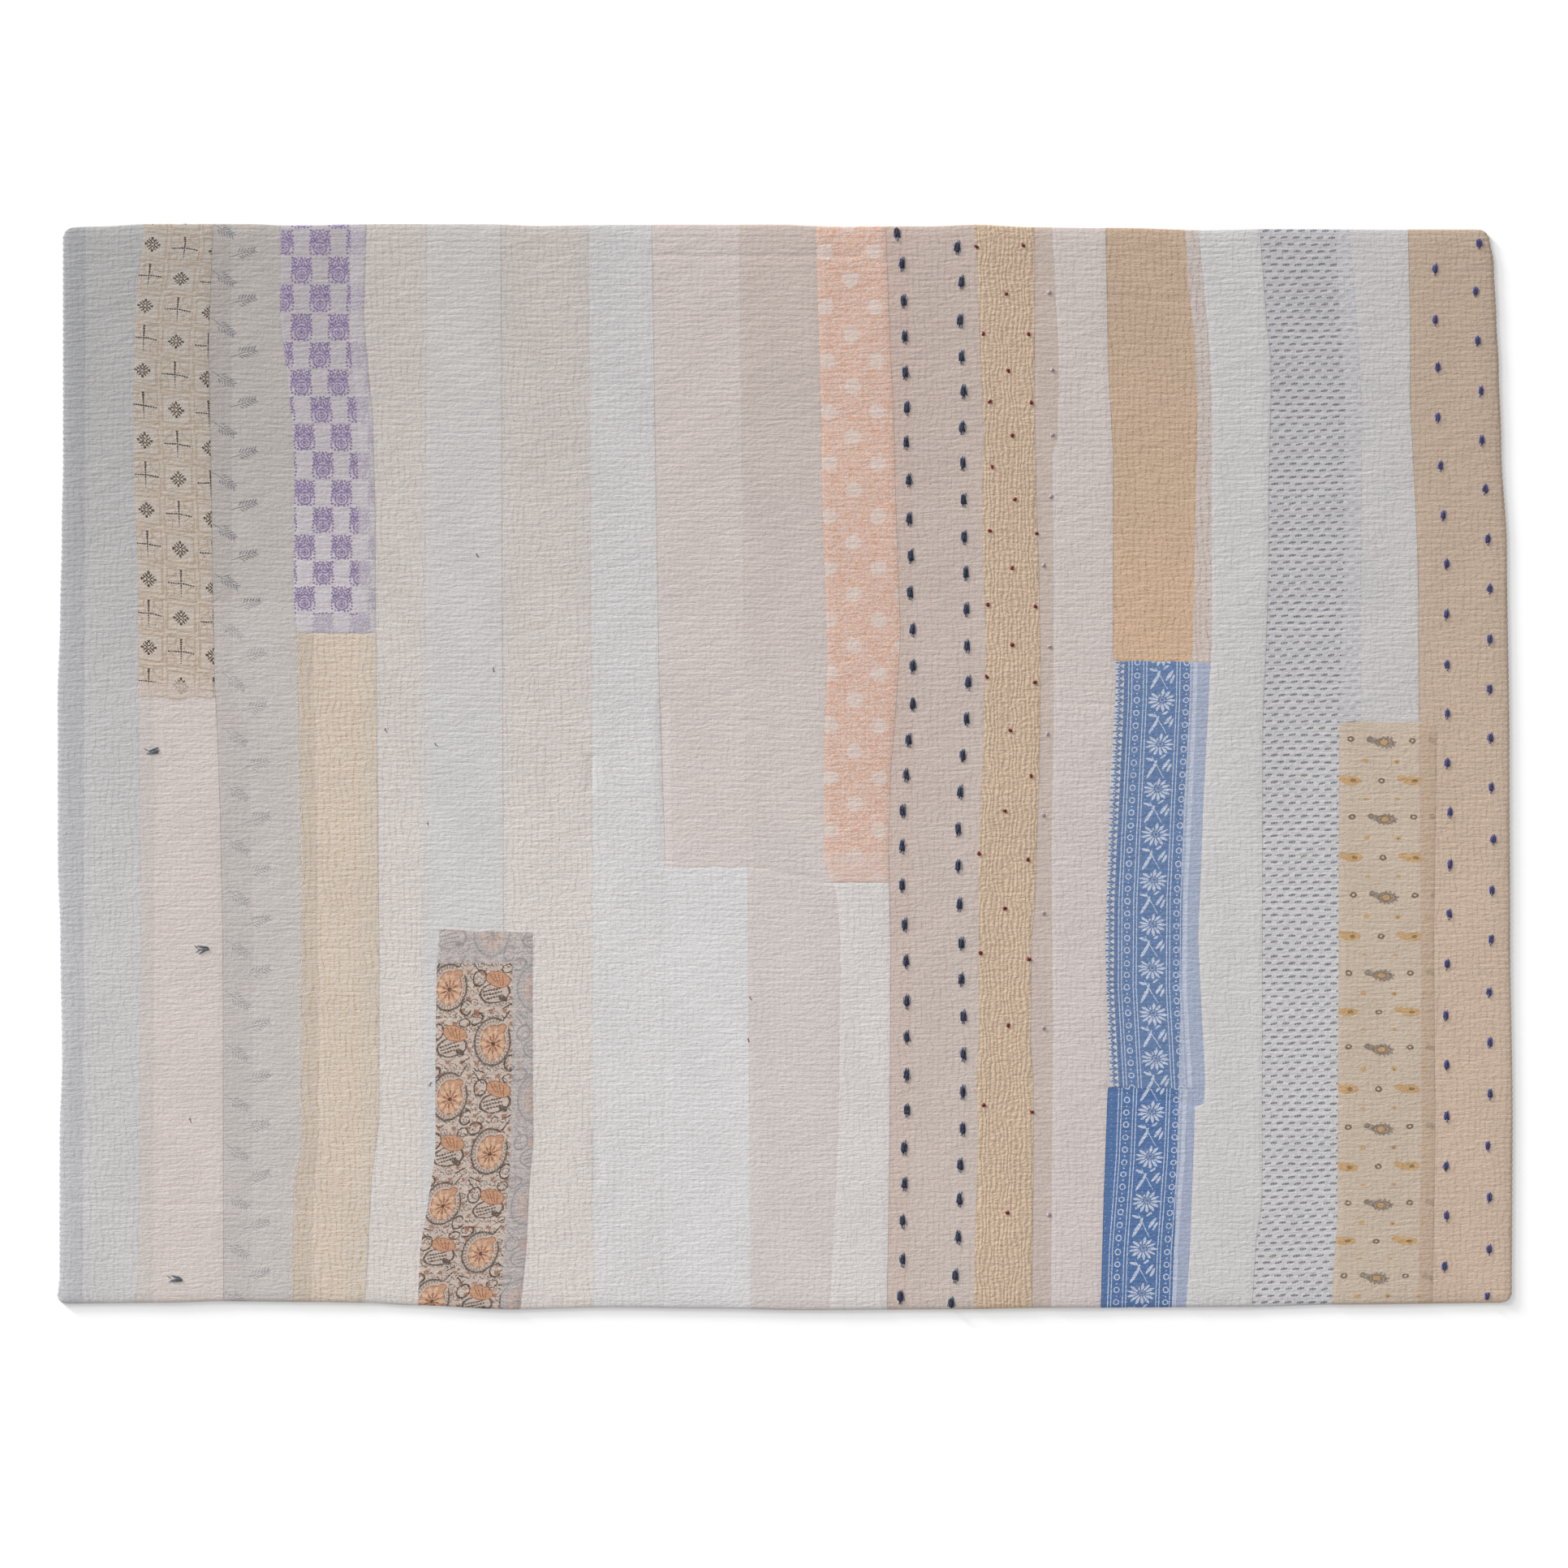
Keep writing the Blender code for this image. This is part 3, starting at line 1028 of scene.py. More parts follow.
def sprig(x: float, down: float, turn: float) -> tuple[Mark, ...]:
    """The marks of one leaf sprig: a bare stem, then leaves to both sides of its tip.

    Args:
        x: Where its middle lies in the cell.
        down: How far down its middle lies.
        turn: How far the stem is turned clockwise from pointing right, in degrees.

    Returns:
        The stem and its leaves.
    """
    cosine, sine = math.cos(math.radians(turn)), math.sin(math.radians(turn))
    marks = [Mark(Form.BAR, x, down, 21, 0.7, turn)]
    for at in (-3.0, 1.5, 6.0, 10.5, 15.0, 19.0):
        for side in (-1, 1):
            off = side * (5.4 - 0.16 * at)
            leaf_x, leaf_down = x + at * cosine - off * sine, down + at * sine + off * cosine
            marks.append(Mark(Form.DISC, leaf_x, leaf_down, 4.2, 1.05, turn + side * 42))
    return tuple(marks)


SPRIG = Repeat(
    200, 76, -75, -19,
    (
        Ink("#737278", 0.85, sprig(-9, 0, -17)),
        Ink("#73757d", 0.85, sprig(-38, 38, 34)),
    ),
    wander=0.6,
)
BOUQUET = Repeat(
    54.7, 40.7, -27.35, -20.35,
    (
        ink("#9d8faa", 0.55, bar=((0, 1, 12.5, 15.5),), disc=((9.5, -3, 5.4, 5.6),)),
        # The flower at the foot, its leafy frame, a bloom at each side and a bud above.
        ink(
            "#76668e", 0.88,
            rosette=(
                (0, 8.6, 5.4, 5, 0, 9), (9.6, -3, 4.6, 4.8, 0, 8), (9.2, -13.2, 3.9, 4.4, 0, 6),
                (0, -13.2, 3, 3.8, 0, 6),
            ),
            ring=((0, 8.6, 9.4, 9, 0, 0.12),),
            disc=(
                (0, -6.6, 1.6, 2.6), (4.6, -8.2, 1.2, 3, -24), (4, -4.2, 2.6, 1.2, 34),
                (12.2, 4.4, 2.3, 1.2, -48), (14.4, 1.6, 1.7, 1.7), (14.8, 6.6, 1.7, 1.7),
                (14.8, 11.4, 1.7, 1.7), (13.8, 16.2, 1.7, 1.7), (9.4, 18.4, 1.7, 1.7),
                (4.4, 19, 1.7, 1.7), (14.4, -9, 1.7, 1.7), (13.6, -17.2, 1.7, 1.7), (0, -17.6, 1.7, 1.7),
                (5.2, -17.8, 1.7, 1.7), (0, 0.2, 1.7, 1.7),
            ),
        ),
        ink(
            "#c3bac2", 0.75,
            ring=((0, 8.6, 3.2, 2.9, 0, 0.16),),
            bar=((6.2, 2.2, 0.5, 3.4, 40), (11.2, 11.6, 0.5, 3.2, -24), (6.4, -9.4, 0.5, 3.6, -16)),
            disc=(
                (9.2, -13.2, 1.2, 1.5), (10.6, -2.4, 0.9, 1.4, 30), (0, -13.2, 0.9, 1.4),
                (6.8, -18, 0.9, 1.5),
            ),
        ),
    ),
    Stagger.ROWS, True, 0.7,
)
FLORAL_FILL = Repeat(
    21, 19, -10.5, -9.5,
    (
        ink("#93654b", 0.85, rosette=((-3, -3, 3.4, 3.4, 0, 5),), disc=((6, 4, 1.6, 1.6),)),
        ink(
            "#51473f", 0.8,
            ring=((5, 3, 5.2, 4.6, 0, 0.14),),
            bar=((-5, 6, 4.5, 0.8, 35), (2, -7, 3.8, 0.7, -50)),
        ),
    ),
    Stagger.ROWS, False, 2.4,
)
FLORAL = Repeat(
    64, 160, -32, -46,
    (
        ink("#bfaea3", 1.0, disc=((-1, 0, 26, 34, 8), (3, 86, 24, 17, -12))),
        ink(
            "#4b423c", 0.9,
            ring=(
                (-1, 0, 26, 34, 8, 0.05), (3, 88, 22, 14, -12, 0.08), (-25, -34, 11, 8, -30, 0.16),
                (25, 30, 8, 11, 20, 0.14), (-19, 66, 9, 12, 25, 0.12), (22, 52, 8, 6, -20, 0.13),
            ),
            bar=(
                (20, -38, 10, 1.1, -55), (-20, 42, 9, 1.1, 20), (-24, 50, 11, 1, 55),
                (22, 108, 9, 1, -30),
            ),
            beads=((-2, 84, 14, 1.7, -15, 7), (0, 89, 15, 1.7, -15, 7), (2, 94, 13, 1.7, -15, 6)),
            disc=((15, 96, 7, 4.5, 20),),
        ),
        ink("#7d7067", 0.7, star=((-1, 0, 24, 31.5, 8, 34),)),
        ink("#bfaea3", 1.0, disc=((0, 0, 20.5, 27.5, 8), (12, -19, 9, 12, 48))),
        ink(
            "#965f46", 0.9,
            disc=((0, 1, 18.6, 25.4, 8), (11, -18, 7.2, 10.4, 48), (8, 68, 18.5, 12, 14)),
        ),
        ink("#be9477", 0.95, disc=((0, 1, 17.2, 24, 8), (11, -18, 5.8, 9, 48), (8, 68, 17.2, 10.6, 14))),
        ink("#d0b096", 0.85, star=((0, 3, 15.5, 20.5, 0, 10),)),
        ink(
            "#965f46", 0.85,
            star=((0, 3, 9, 12, 18, 10),),
            bar=((0, 66, 0.8, 8, -32), (5, 67, 0.8, 9, -22), (10, 68, 0.8, 9, -12), (15, 70, 0.8, 8, -2)),
            rosette=((-24, -40, 4, 4, 0, 5),),
        ),
        ink("#4d443f", 0.95, disc=((0, 3, 3, 3.2),)),
    ),
    Stagger.COLUMNS, False, 1.0,
)
PEACH_DOTS = Repeat(
    36, 76.8, -18, -38.4,
    (
        ink("#cec1ba", 0.8, disc=((0, 0, 12, 11.5),)),
    ),
    Stagger.COLUMNS, False, 3.0,
)
SMALL_MOTIF = Repeat(
    17.6, 9.84, -8.8, -4.92,
    (
        ink("#8f9299", 0.6, disc=((0, 0, 5.4, 2.2, -6),)),
        ink(
            "#666870", 0.85,
            disc=((0, 0, 1.7, 1.6), (-3.5, 0.7, 1.7, 1.2, -35), (3.5, -0.5, 1.7, 1.2, -35)),
        ),
    ),
    Stagger.ROWS, False, 0.3,
)
PAISLEY = Repeat(
    91, 113.2, -28, -28,
    (
        ink(
            "#82766d", 0.85,
            disc=(
                (4, 1, 16, 7.4, 3), (-12, -2, 9, 4.4, 14), (-18, -4, 5, 4.2, -20), (-5, 7, 2, 1.7),
                (1, 8.6, 2, 1.7), (7, 8.8, 2, 1.7), (13, 7.6, 2, 1.7), (18.5, 5, 2, 1.7),
                (20.5, 0.5, 2, 1.7), (15, -5, 2, 1.7), (9, -6.6, 2, 1.7), (2.5, -6.6, 2, 1.7),
            ),
        ),
        ink("#6f645b", 0.7, ring=((4, 1, 13, 6, 3, 0.09), (-17, -4, 3, 2.4, -20, 0.25))),
        ink("#665549", 0.9, ring=((45.5, -3, 3.8, 2.9, 0, 0.42), (-1, 56.6, 3.8, 2.9, 0, 0.42))),
        ink(
            "#b99566", 0.9,
            disc=(
                (3, 1, 6, 3.6), (45, 57, 15.5, 6.8), (30, 54, 9, 4.8, 12), (21.8, 28.3, 4.6, 3.4),
                (21.8, 84.9, 4.6, 3.4), (67, 28.3, 4.6, 3.4), (67, 84.9, 4.6, 3.4), (-24, 28.3, 4.6, 3.4),
                (-24, 84.9, 4.6, 3.4),
            ),
        ),
        ink(
            "#7c6248", 0.85,
            disc=((48, 57, 4.4, 2.6), (22, 29, 2, 1.4), (22, 85.6, 2, 1.4)),
            ring=((3, 1, 6.8, 4.2, 0, 0.14),),
        ),
    ),
    wander=0.7,
)
BORDER_COMB = Repeat(
    400, 9.35, -180, -4.675,
    (
        ink("#c6c5c6", 0.95, bar=((-66, 0, 12.5, 40),)),
        ink(
            "#5a7198", 0.95,
            disc=((-61, 0, 9.5, 1.7), (-61, 2.4, 5, 1.2, -30), (-61, -2.4, 5, 1.2, 30)),
            bar=((-54, 0, 2.2, 40),),
        ),
    ),
    wander=1.0,
)
BORDER_CHAIN = Repeat(
    400, 18.7, -180, -9.35,
    (
        ink(
            "#c6cbd8", 0.82,
            bar=(
                (-49.2, 0, 0.7, 40), (-44.6, 0, 0.7, 40), (-27.4, 0, 0.7, 40), (-22.8, 0, 0.7, 40),
                (21.8, 0, 0.7, 40), (26.4, 0, 0.7, 40), (42, 0, 0.7, 40), (49, 0, 3, 40),
            ),
            ring=((-36.8, 0, 3.8, 3.8, 0, 0.22), (36, 0, 3.8, 3.8, 0, 0.22)),
            disc=(
                (-36.8, -9.35, 1.2, 1.2), (-36.8, 9.35, 1.2, 1.2), (36, -9.35, 1.2, 1.2),
                (36, 9.35, 1.2, 1.2),
            ),
        ),
    ),
    wander=0.5,
)
BORDER_FLOWERS = Repeat(
    400, 67, -180, -28,
    (
        # A bloom, then the stem that slants down to the next one, with its leaves. Those
        # that run over the cell's foot are drawn again over its head.
        ink(
            "#c6cbd8", 0.84,
            star=((0, 0, 17, 13.5, 0, 13),),
            disc=(
                (-13, 22, 6.5, 2, 14), (6, 18.5, 5, 1.6, -34), (-11, 40, 12, 2.4, -60),
                (-6, 31, 8.5, 2, -72), (11, 30, 9, 2.4, -54), (15.5, 35, 7, 2, -64),
                (-11, -27, 12, 2.4, -60), (-6, -36, 8.5, 2, -72), (11, -37, 9, 2.4, -54),
                (15.5, -32, 7, 2, -64),
            ),
            bar=((-1, 34, 19, 0.6, 60), (-1, -33, 19, 0.6, 60)),
        ),
        ink("#5a7198", 0.95, rosette=((1, -1, 7.2, 5.4, 0, 9),), bar=((-7, -12, 4, 3.4, 20),)),
        ink("#aab4c8", 0.6, ring=((1, -1, 3.4, 3, 0, 0.2),)),
    ),
    wander=0.8,
)

GREY = Cotton(
    "cotton_plain_grey_worn", "#c3c1c1", "#aaa9a9", "#9d8f88", 0.14, Weave.WAFFLE, left_tint="#eff1f5"
)
LATTICE_COTTON = Cotton(
    "cotton_lattice_block_print", "#ccbcae", "#afa8a1", "#ab8a6e", 0.12, Weave.PLAIN, 0.05,
    (LATTICE,), "#c2b5ad", 0.62,
)
PINK = Cotton("cotton_plain_pale_pink", "#ccc2bd", "#c2b9b6", "#b08e7e", 0.1, left_tint="#f5f7f8")
SPRIG_COTTON = Cotton(
    "cotton_leaf_sprig_print", "#c1bbb8", "#aea8a4", "#a98f80", 0.1, Weave.PLAIN, 0.06, (SPRIG,),
    "#bfb9b6", 0.45, left_tint="#f4f3f3",
)
BOUQUET_COTTON = Cotton(
    "cotton_bouquet_block_print", "#d5ced3", "#aea8ac", "#b08f7c", 0.12, Weave.PLAIN, 0.05,
    (BOUQUET,), "#bdb8bb", 0.6,
)
CREAM = Cotton(
    "cotton_plain_cream", "#cdc0b2", "#c8baac", "#bd8a54", 0.3, Weave.WAFFLE, left_tint="#f1f2f2",
    right_tint="#fbfeff",
)
FAINT_CREAM = Cotton("cotton_faint_cream", "#d0cac6", "#beb8b4", "#b8927a", 0.22, Weave.WAFFLE)
FAINT_COOL = Cotton("cotton_faint_cool_white", "#cac7c7", "#bfbcba", "#a7a2a3", 0.1)
FAINT_WHITE = Cotton("cotton_faint_warm_white", "#d0cdce", "#c2bfc0", "#a98570", 0.15)
FAINT_BLUSH = Cotton("cotton_faint_blush", "#cbc2bf", "#c4bab6", "#b08c7a", 0.12)
FAINT_CLEAR = Cotton("cotton_faint_clear_white", "#d1cecf", "#cbc8c8", "#aa9890", 0.10)
BEIGE = Cotton("cotton_plain_warm_beige", "#cac2bf", "#bdb0aa", "#ad8a76", 0.12)
FLORAL_COTTON = Cotton(
    "cotton_floral_block_print", "#c2b2a7", "#bfaea3", "#6d625b", 0.10, Weave.PLAIN, 0.05,
    (FLORAL_FILL, FLORAL), "#b3b0b2", 0.6,
)
PEACH_COTTON = Cotton(
    "cotton_peach_scribble_print", "#d1c1b9", "#cdbcb4", "#c79880", 0.15, Weave.PLAIN, 0.05,
    (PEACH_DOTS,), "#cdbab2", 0.6, scribble="#cb9c84",
)
WHITE_LOW = Cotton("cotton_plain_white_lower", "#cec9c7", "#c8c3c1", "#a89e9a", 0.08, Weave.WAFFLE)
DASH_COTTON = Cotton(
    "cotton_beige_grey", "#c1b5ae", "#bbaca4", "#b08068", 0.15, Weave.WAFFLE, left_tint="#fffaf8"
)
CREPE_COTTON = Cotton("cotton_cream_crepe_ribbed", "#c2ac96", "#bea893", "#a98a62", 0.2, Weave.CREPE)
SHEER_COTTON = Cotton("cotton_sheer_over_cream", "#beb0a8", "#bbaca3", "#957c7c", 0.12)
BLUSH_COTTON = Cotton("cotton_pale_blush_white", "#c7bdba", "#c3b9b5", "#a5969a", 0.1, Weave.WAFFLE)
AMBER_COTTON = Cotton(
    "cotton_plain_amber_tan", "#d2b091", "#b8a28e", "#9c7350", 0.3, Weave.WAFFLE, 0.06,
    (), "#bfbdc0", 0.6,
)
BORDER_COTTON = Cotton(
    "cotton_blue_floral_border_print", "#627aa0", "#627aa0", "#5a6c8e", 0.1, Weave.PLAIN, 0.05,
    (BORDER_COMB, BORDER_CHAIN, BORDER_FLOWERS), "#b5bac8", 0.66,
)
BORDER_PLAIN = replace(
    BORDER_COTTON, name="cotton_blue_border_print_plain_edge", near="#526f9c", far="#526f9c",
    repeats=(BORDER_CHAIN, BORDER_FLOWERS),
)
WHITE_COTTON = Cotton("cotton_plain_cool_white", "#c6c3c3", "#c1bebe", "#9fa0a5", 0.08, Weave.WAFFLE)
WHITE_SHORT = Cotton("cotton_plain_soft_white", "#c2bfbe", "#bcb9b8", "#9fa0a5", 0.08, Weave.WAFFLE)
MOTIF_COTTON = Cotton(
    "cotton_small_grey_motif_print", "#c2c0c1", "#b5b3b5", "#8d9299", 0.08, Weave.PLAIN, 0.05,
    (SMALL_MOTIF,), "#bebcc0", 0.55,
)
PAISLEY_COTTON = Cotton(
    "cotton_paisley_block_print", "#beae9e", "#c0b1a2", "#987f5f", 0.15, Weave.PLAIN, 0.05,
    (PAISLEY,), "#b39a84", 0.62,
)
TAN_COTTON = Cotton("cotton_plain_tan", "#c2ad9b", "#b4a190", "#9e785c", 0.2, Weave.WAFFLE)
GROUND_COTTON = Cotton("cotton_plain_ground_cloth", "#b9b2aa", "#b3aca4", "#9a8d81", 0.1, Weave.WAFFLE, 0.1)


def blank_sheet(
    name: str, columns: int, lines: np.ndarray, face_down: bool = False
) -> tuple[bpy.types.Mesh, np.ndarray, np.ndarray]:
    """Makes a sheet's grid, still to be laid.

    Args:
        name: The sheet's name.
        columns: How many cells it has across.
        lines: The stitch row of each of its lines down the quilt.
        face_down: Whether its faces look down.

    Returns:
        Its mesh, and the column number and stitch row of each point.
    """
    grid = bmesh.new()
    bmesh.ops.create_grid(grid, x_segments=columns, y_segments=len(lines) - 1, size=1.0)
    if face_down:
        bmesh.ops.reverse_faces(grid, faces=grid.faces)
    mesh = bpy.data.meshes.new(name)
    grid.to_mesh(mesh)
    grid.free()
    unit = np.empty(len(mesh.vertices) * 3, np.float32)
    mesh.vertices.foreach_get("co", unit)
    unit = unit.reshape(-1, 3)
    column = np.rint((unit[:, 0] + 1) / 2 * columns).astype(int)
    number = np.rint((1 - unit[:, 1]) / 2 * (len(lines) - 1)).astype(int)
    return mesh, column, lines[number]


def lay_sheet(mesh: bpy.types.Mesh, points: np.ndarray, maps: Maps) -> bpy.types.Object:
    """Moves a sheet's points to their places and stores pairs of numbers for them as UV maps.

    Args:
        mesh: The sheet's mesh.
        points: Where each point lies, in metres.
        maps: For each map's name, the two numbers at each point.

    Returns:
        The sheet, in the scene.
    """
    mesh.vertices.foreach_set("co", points.astype(np.float32).ravel())
    corners = np.empty(len(mesh.loops), np.int32)
    mesh.loops.foreach_get("vertex_index", corners)
    for name, pair in maps.items():
        layer = mesh.uv_layers.new(name=name)
        layer.data.foreach_set("uv", np.stack(pair, axis=-1)[corners].astype(np.float32).ravel())
    mesh.shade_smooth()
    mesh.update()
    return linked(mesh.name, mesh)


@dataclass
class ClothStrip:
    """One strip or patch: its sides, ends, height above the lowest strips, and cloth.

    `tucks` says how far it runs on under its neighbours: left, right, far, near.
    `print_line` and `steps` place its print: x of a main column, and how far down the
    main marks come, one after another. `print_slope` is how far it falls to the right.
    """

    name: str
    cloth: Cotton
    left: Line | None
    right: Line | None
    far: float = 0.0
    near: float = WIDTH
    lift: float = 0.0
    tucks: tuple[float, float, float, float] = (0.0, 0.0, 0.0, 0.0)
    veil_line: Line | None = None
    left_band: Line | None = None
    right_band: Line | None = None
    veil_far: float = -1e3
    veil_near: float = 1e4
    print_line: Line | None = None
    steps: tuple[float, ...] = ()
    print_slope: float = 0.0
    column: float = 7.0
    piece: bpy.types.Object | None = field(default=None, init=False)

    def rows(self) -> tuple[float, float]:
        """Rounds the strip's ends to a quarter of a stitch row.

        Returns:
            Its first row and its last one.
        """
        far = 0.0 if self.far <= 0 else round(self.far / PITCH * 4) / 4
        near = float(ROWS) if self.near >= WIDTH else round(self.near / PITCH * 4) / 4
        return far, near

    def row_lines(self) -> np.ndarray:
        """The mesh's lines down the strip, four a row, and more where an end turns under.

        Returns:
            The stitch row of each line.
        """
        far, near = self.rows()
        under = np.array(TURNED) / PITCH
        lines = np.arange(far, near + 1e-6, 0.25)
        if far == 0:
            lines = np.concatenate([under, lines[2:]])
        elif self.tucks[2]:
            lines = np.concatenate([[far - self.tucks[2] / PITCH], lines])
        if near == ROWS:
            lines = np.concatenate([lines[:-2], ROWS - under[::-1]])
        elif self.tucks[3]:
            lines = np.concatenate([lines, [near + self.tucks[3] / PITCH]])
        return lines

    def sides(self, row: np.ndarray) -> tuple[np.ndarray, np.ndarray]:
        """Where the strip's two sides run.

        Args:
            row: Stitch rows from the far end.

        Returns:
            The x of its left side, and of its right one.
        """
        outline_left, outline_right = FACE.sides(row)
        down = FACE.down_at(straight(self.left or self.right, row * PITCH), row)
        left = outline_left if self.left is None else straight(self.left, down)
        right = outline_right if self.right is None else straight(self.right, down)
        return left, right

    def columns(self) -> list[tuple[float, float]]:
        """The mesh's upright lines, with more of them where a side turns under.

        Returns:
            For each line, a share of the strip's width, and mm added to it.
        """
        left, right = self.sides(np.arange(*self.rows(), 4.0))
        count = max(3, round(float((right - left).max()) / self.column))
        edges = []
        for side, tuck in ((self.left, self.tucks[0]), (self.right, self.tucks[1])):
            if side is None:
                edges.append([*TURNED, 4.0])
            else:
                edges.append([-tuck, 0.0, 1.3] if tuck else [0.0, 1.3])
        first = [(0.0, at) for at in edges[0]]
        last = [(1.0, -at) for at in reversed(edges[1])]
        return [*first, *((at / count, 0.0) for at in range(1, count)), *last]

    def raised(self, edge: np.ndarray) -> np.ndarray:
        """How far the strip lies above the lowest ones, less at its folded rim.

        Args:
            edge: How far inside its own rim each point is.

        Returns:
            The lift, in mm.
        """
        if self.lift == 0:
            return np.zeros_like(edge)
        return RIM_LIFT + (self.lift - RIM_LIFT) * np.clip(edge / RIM_REACH, 0.0, 1.0)

    def edge_distance(self, x: np.ndarray, row: np.ndarray) -> np.ndarray:
        """How far inside the strip's own rim a point is.

        Args:
            x: Distances from the left side.
            row: Stitch rows from the far end.

        Returns:
            The distances, in mm, and a long one where the quilt's own sides are the only ones.
        """
        left, right = self.sides(row)
        far, near = self.rows()
        to_left = OUTSIDE if self.left is None else x - left
        edge = np.minimum(to_left, OUTSIDE if self.right is None else right - x)
        if far > 0:
            edge = np.minimum(edge, (row - far) * PITCH)
        if near < ROWS:
            edge = np.minimum(edge, (near - row) * PITCH)
        return edge

    def print_down(self, down: np.ndarray) -> np.ndarray:
        """How far down its print a point lies, when the main marks come at the steps.

        Args:
            down: How far down the quilt it lies.

        Returns:
            The distance from the first main mark, as the printer's block measures it.
        """
        if not self.steps:
            return down
        height = self.cloth.repeats[-1].down
        table = np.array(self.steps)
        count = np.arange(len(table)) * height
        before = (down - table[0]) * height / (table[1] - table[0])
        after = count[-1] + (down - table[-1]) * height / (table[-1] - table[-2])
        past = np.where(down > table[-1], after, np.interp(down, table, count))
        return np.where(down < table[0], before, past)

    def build(self) -> bpy.types.Object:
        """Makes the strip's sheet, laid over the quilt's rows.

        Returns:
            The sheet.
        """
        table = np.array(self.columns())
        mesh, column, row = blank_sheet(self.name, len(table) - 1, self.row_lines())
        left, right = self.sides(row)
        x = left + (right - left) * table[column, 0] + table[column, 1]
        edge = self.edge_distance(x, row)
        points = FACE.place(x, row, self.raised(edge))
        self.piece = lay_sheet(mesh, points, self.maps(x, row, edge))
        return self.piece

    def maps(self, x: np.ndarray, row: np.ndarray, edge: np.ndarray) -> Maps:
        """Where each point is on the print, among the rows, and from the veil and rim.

        Args:
            x: Distances from the left side.
            row: Stitch rows from the far end.
            edge: Distances inside the strip's own rim.

        Returns:
            The pair of numbers of each map.
        """
        down = FACE.down_at(x, row)
        column = straight(self.print_line, down) if self.print_line else self.sides(row)[0]
        printed = self.print_down(down) - self.print_slope * (x - column)
        beyond = np.maximum(self.veil_far - down, down - self.veil_near)
        if self.veil_line:
            beyond = np.maximum(beyond, x - straight(self.veil_line, down))
        # The hem is thicker than a seam, so its shade reaches three times as far in.
        left, right = FACE.sides(row)
        hem = np.minimum(np.minimum(x - left, right - x), np.minimum(row, ROWS - row) * PITCH)
        outside = np.full_like(x, -OUTSIDE)
        in_left = straight(self.left_band, down) - x if self.left_band else outside
        in_right = x - straight(self.right_band, down) if self.right_band else outside
        return {
            "print": (x - column, printed),
            "rows": (x, row),
            "cover": (beyond, np.minimum(edge, hem / 3)),
            "bands": (in_left, in_right),
        }

    def dress(self) -> None:
        """Gives the strip its cloth."""
        self.piece.data.materials.append(self.cloth.material())


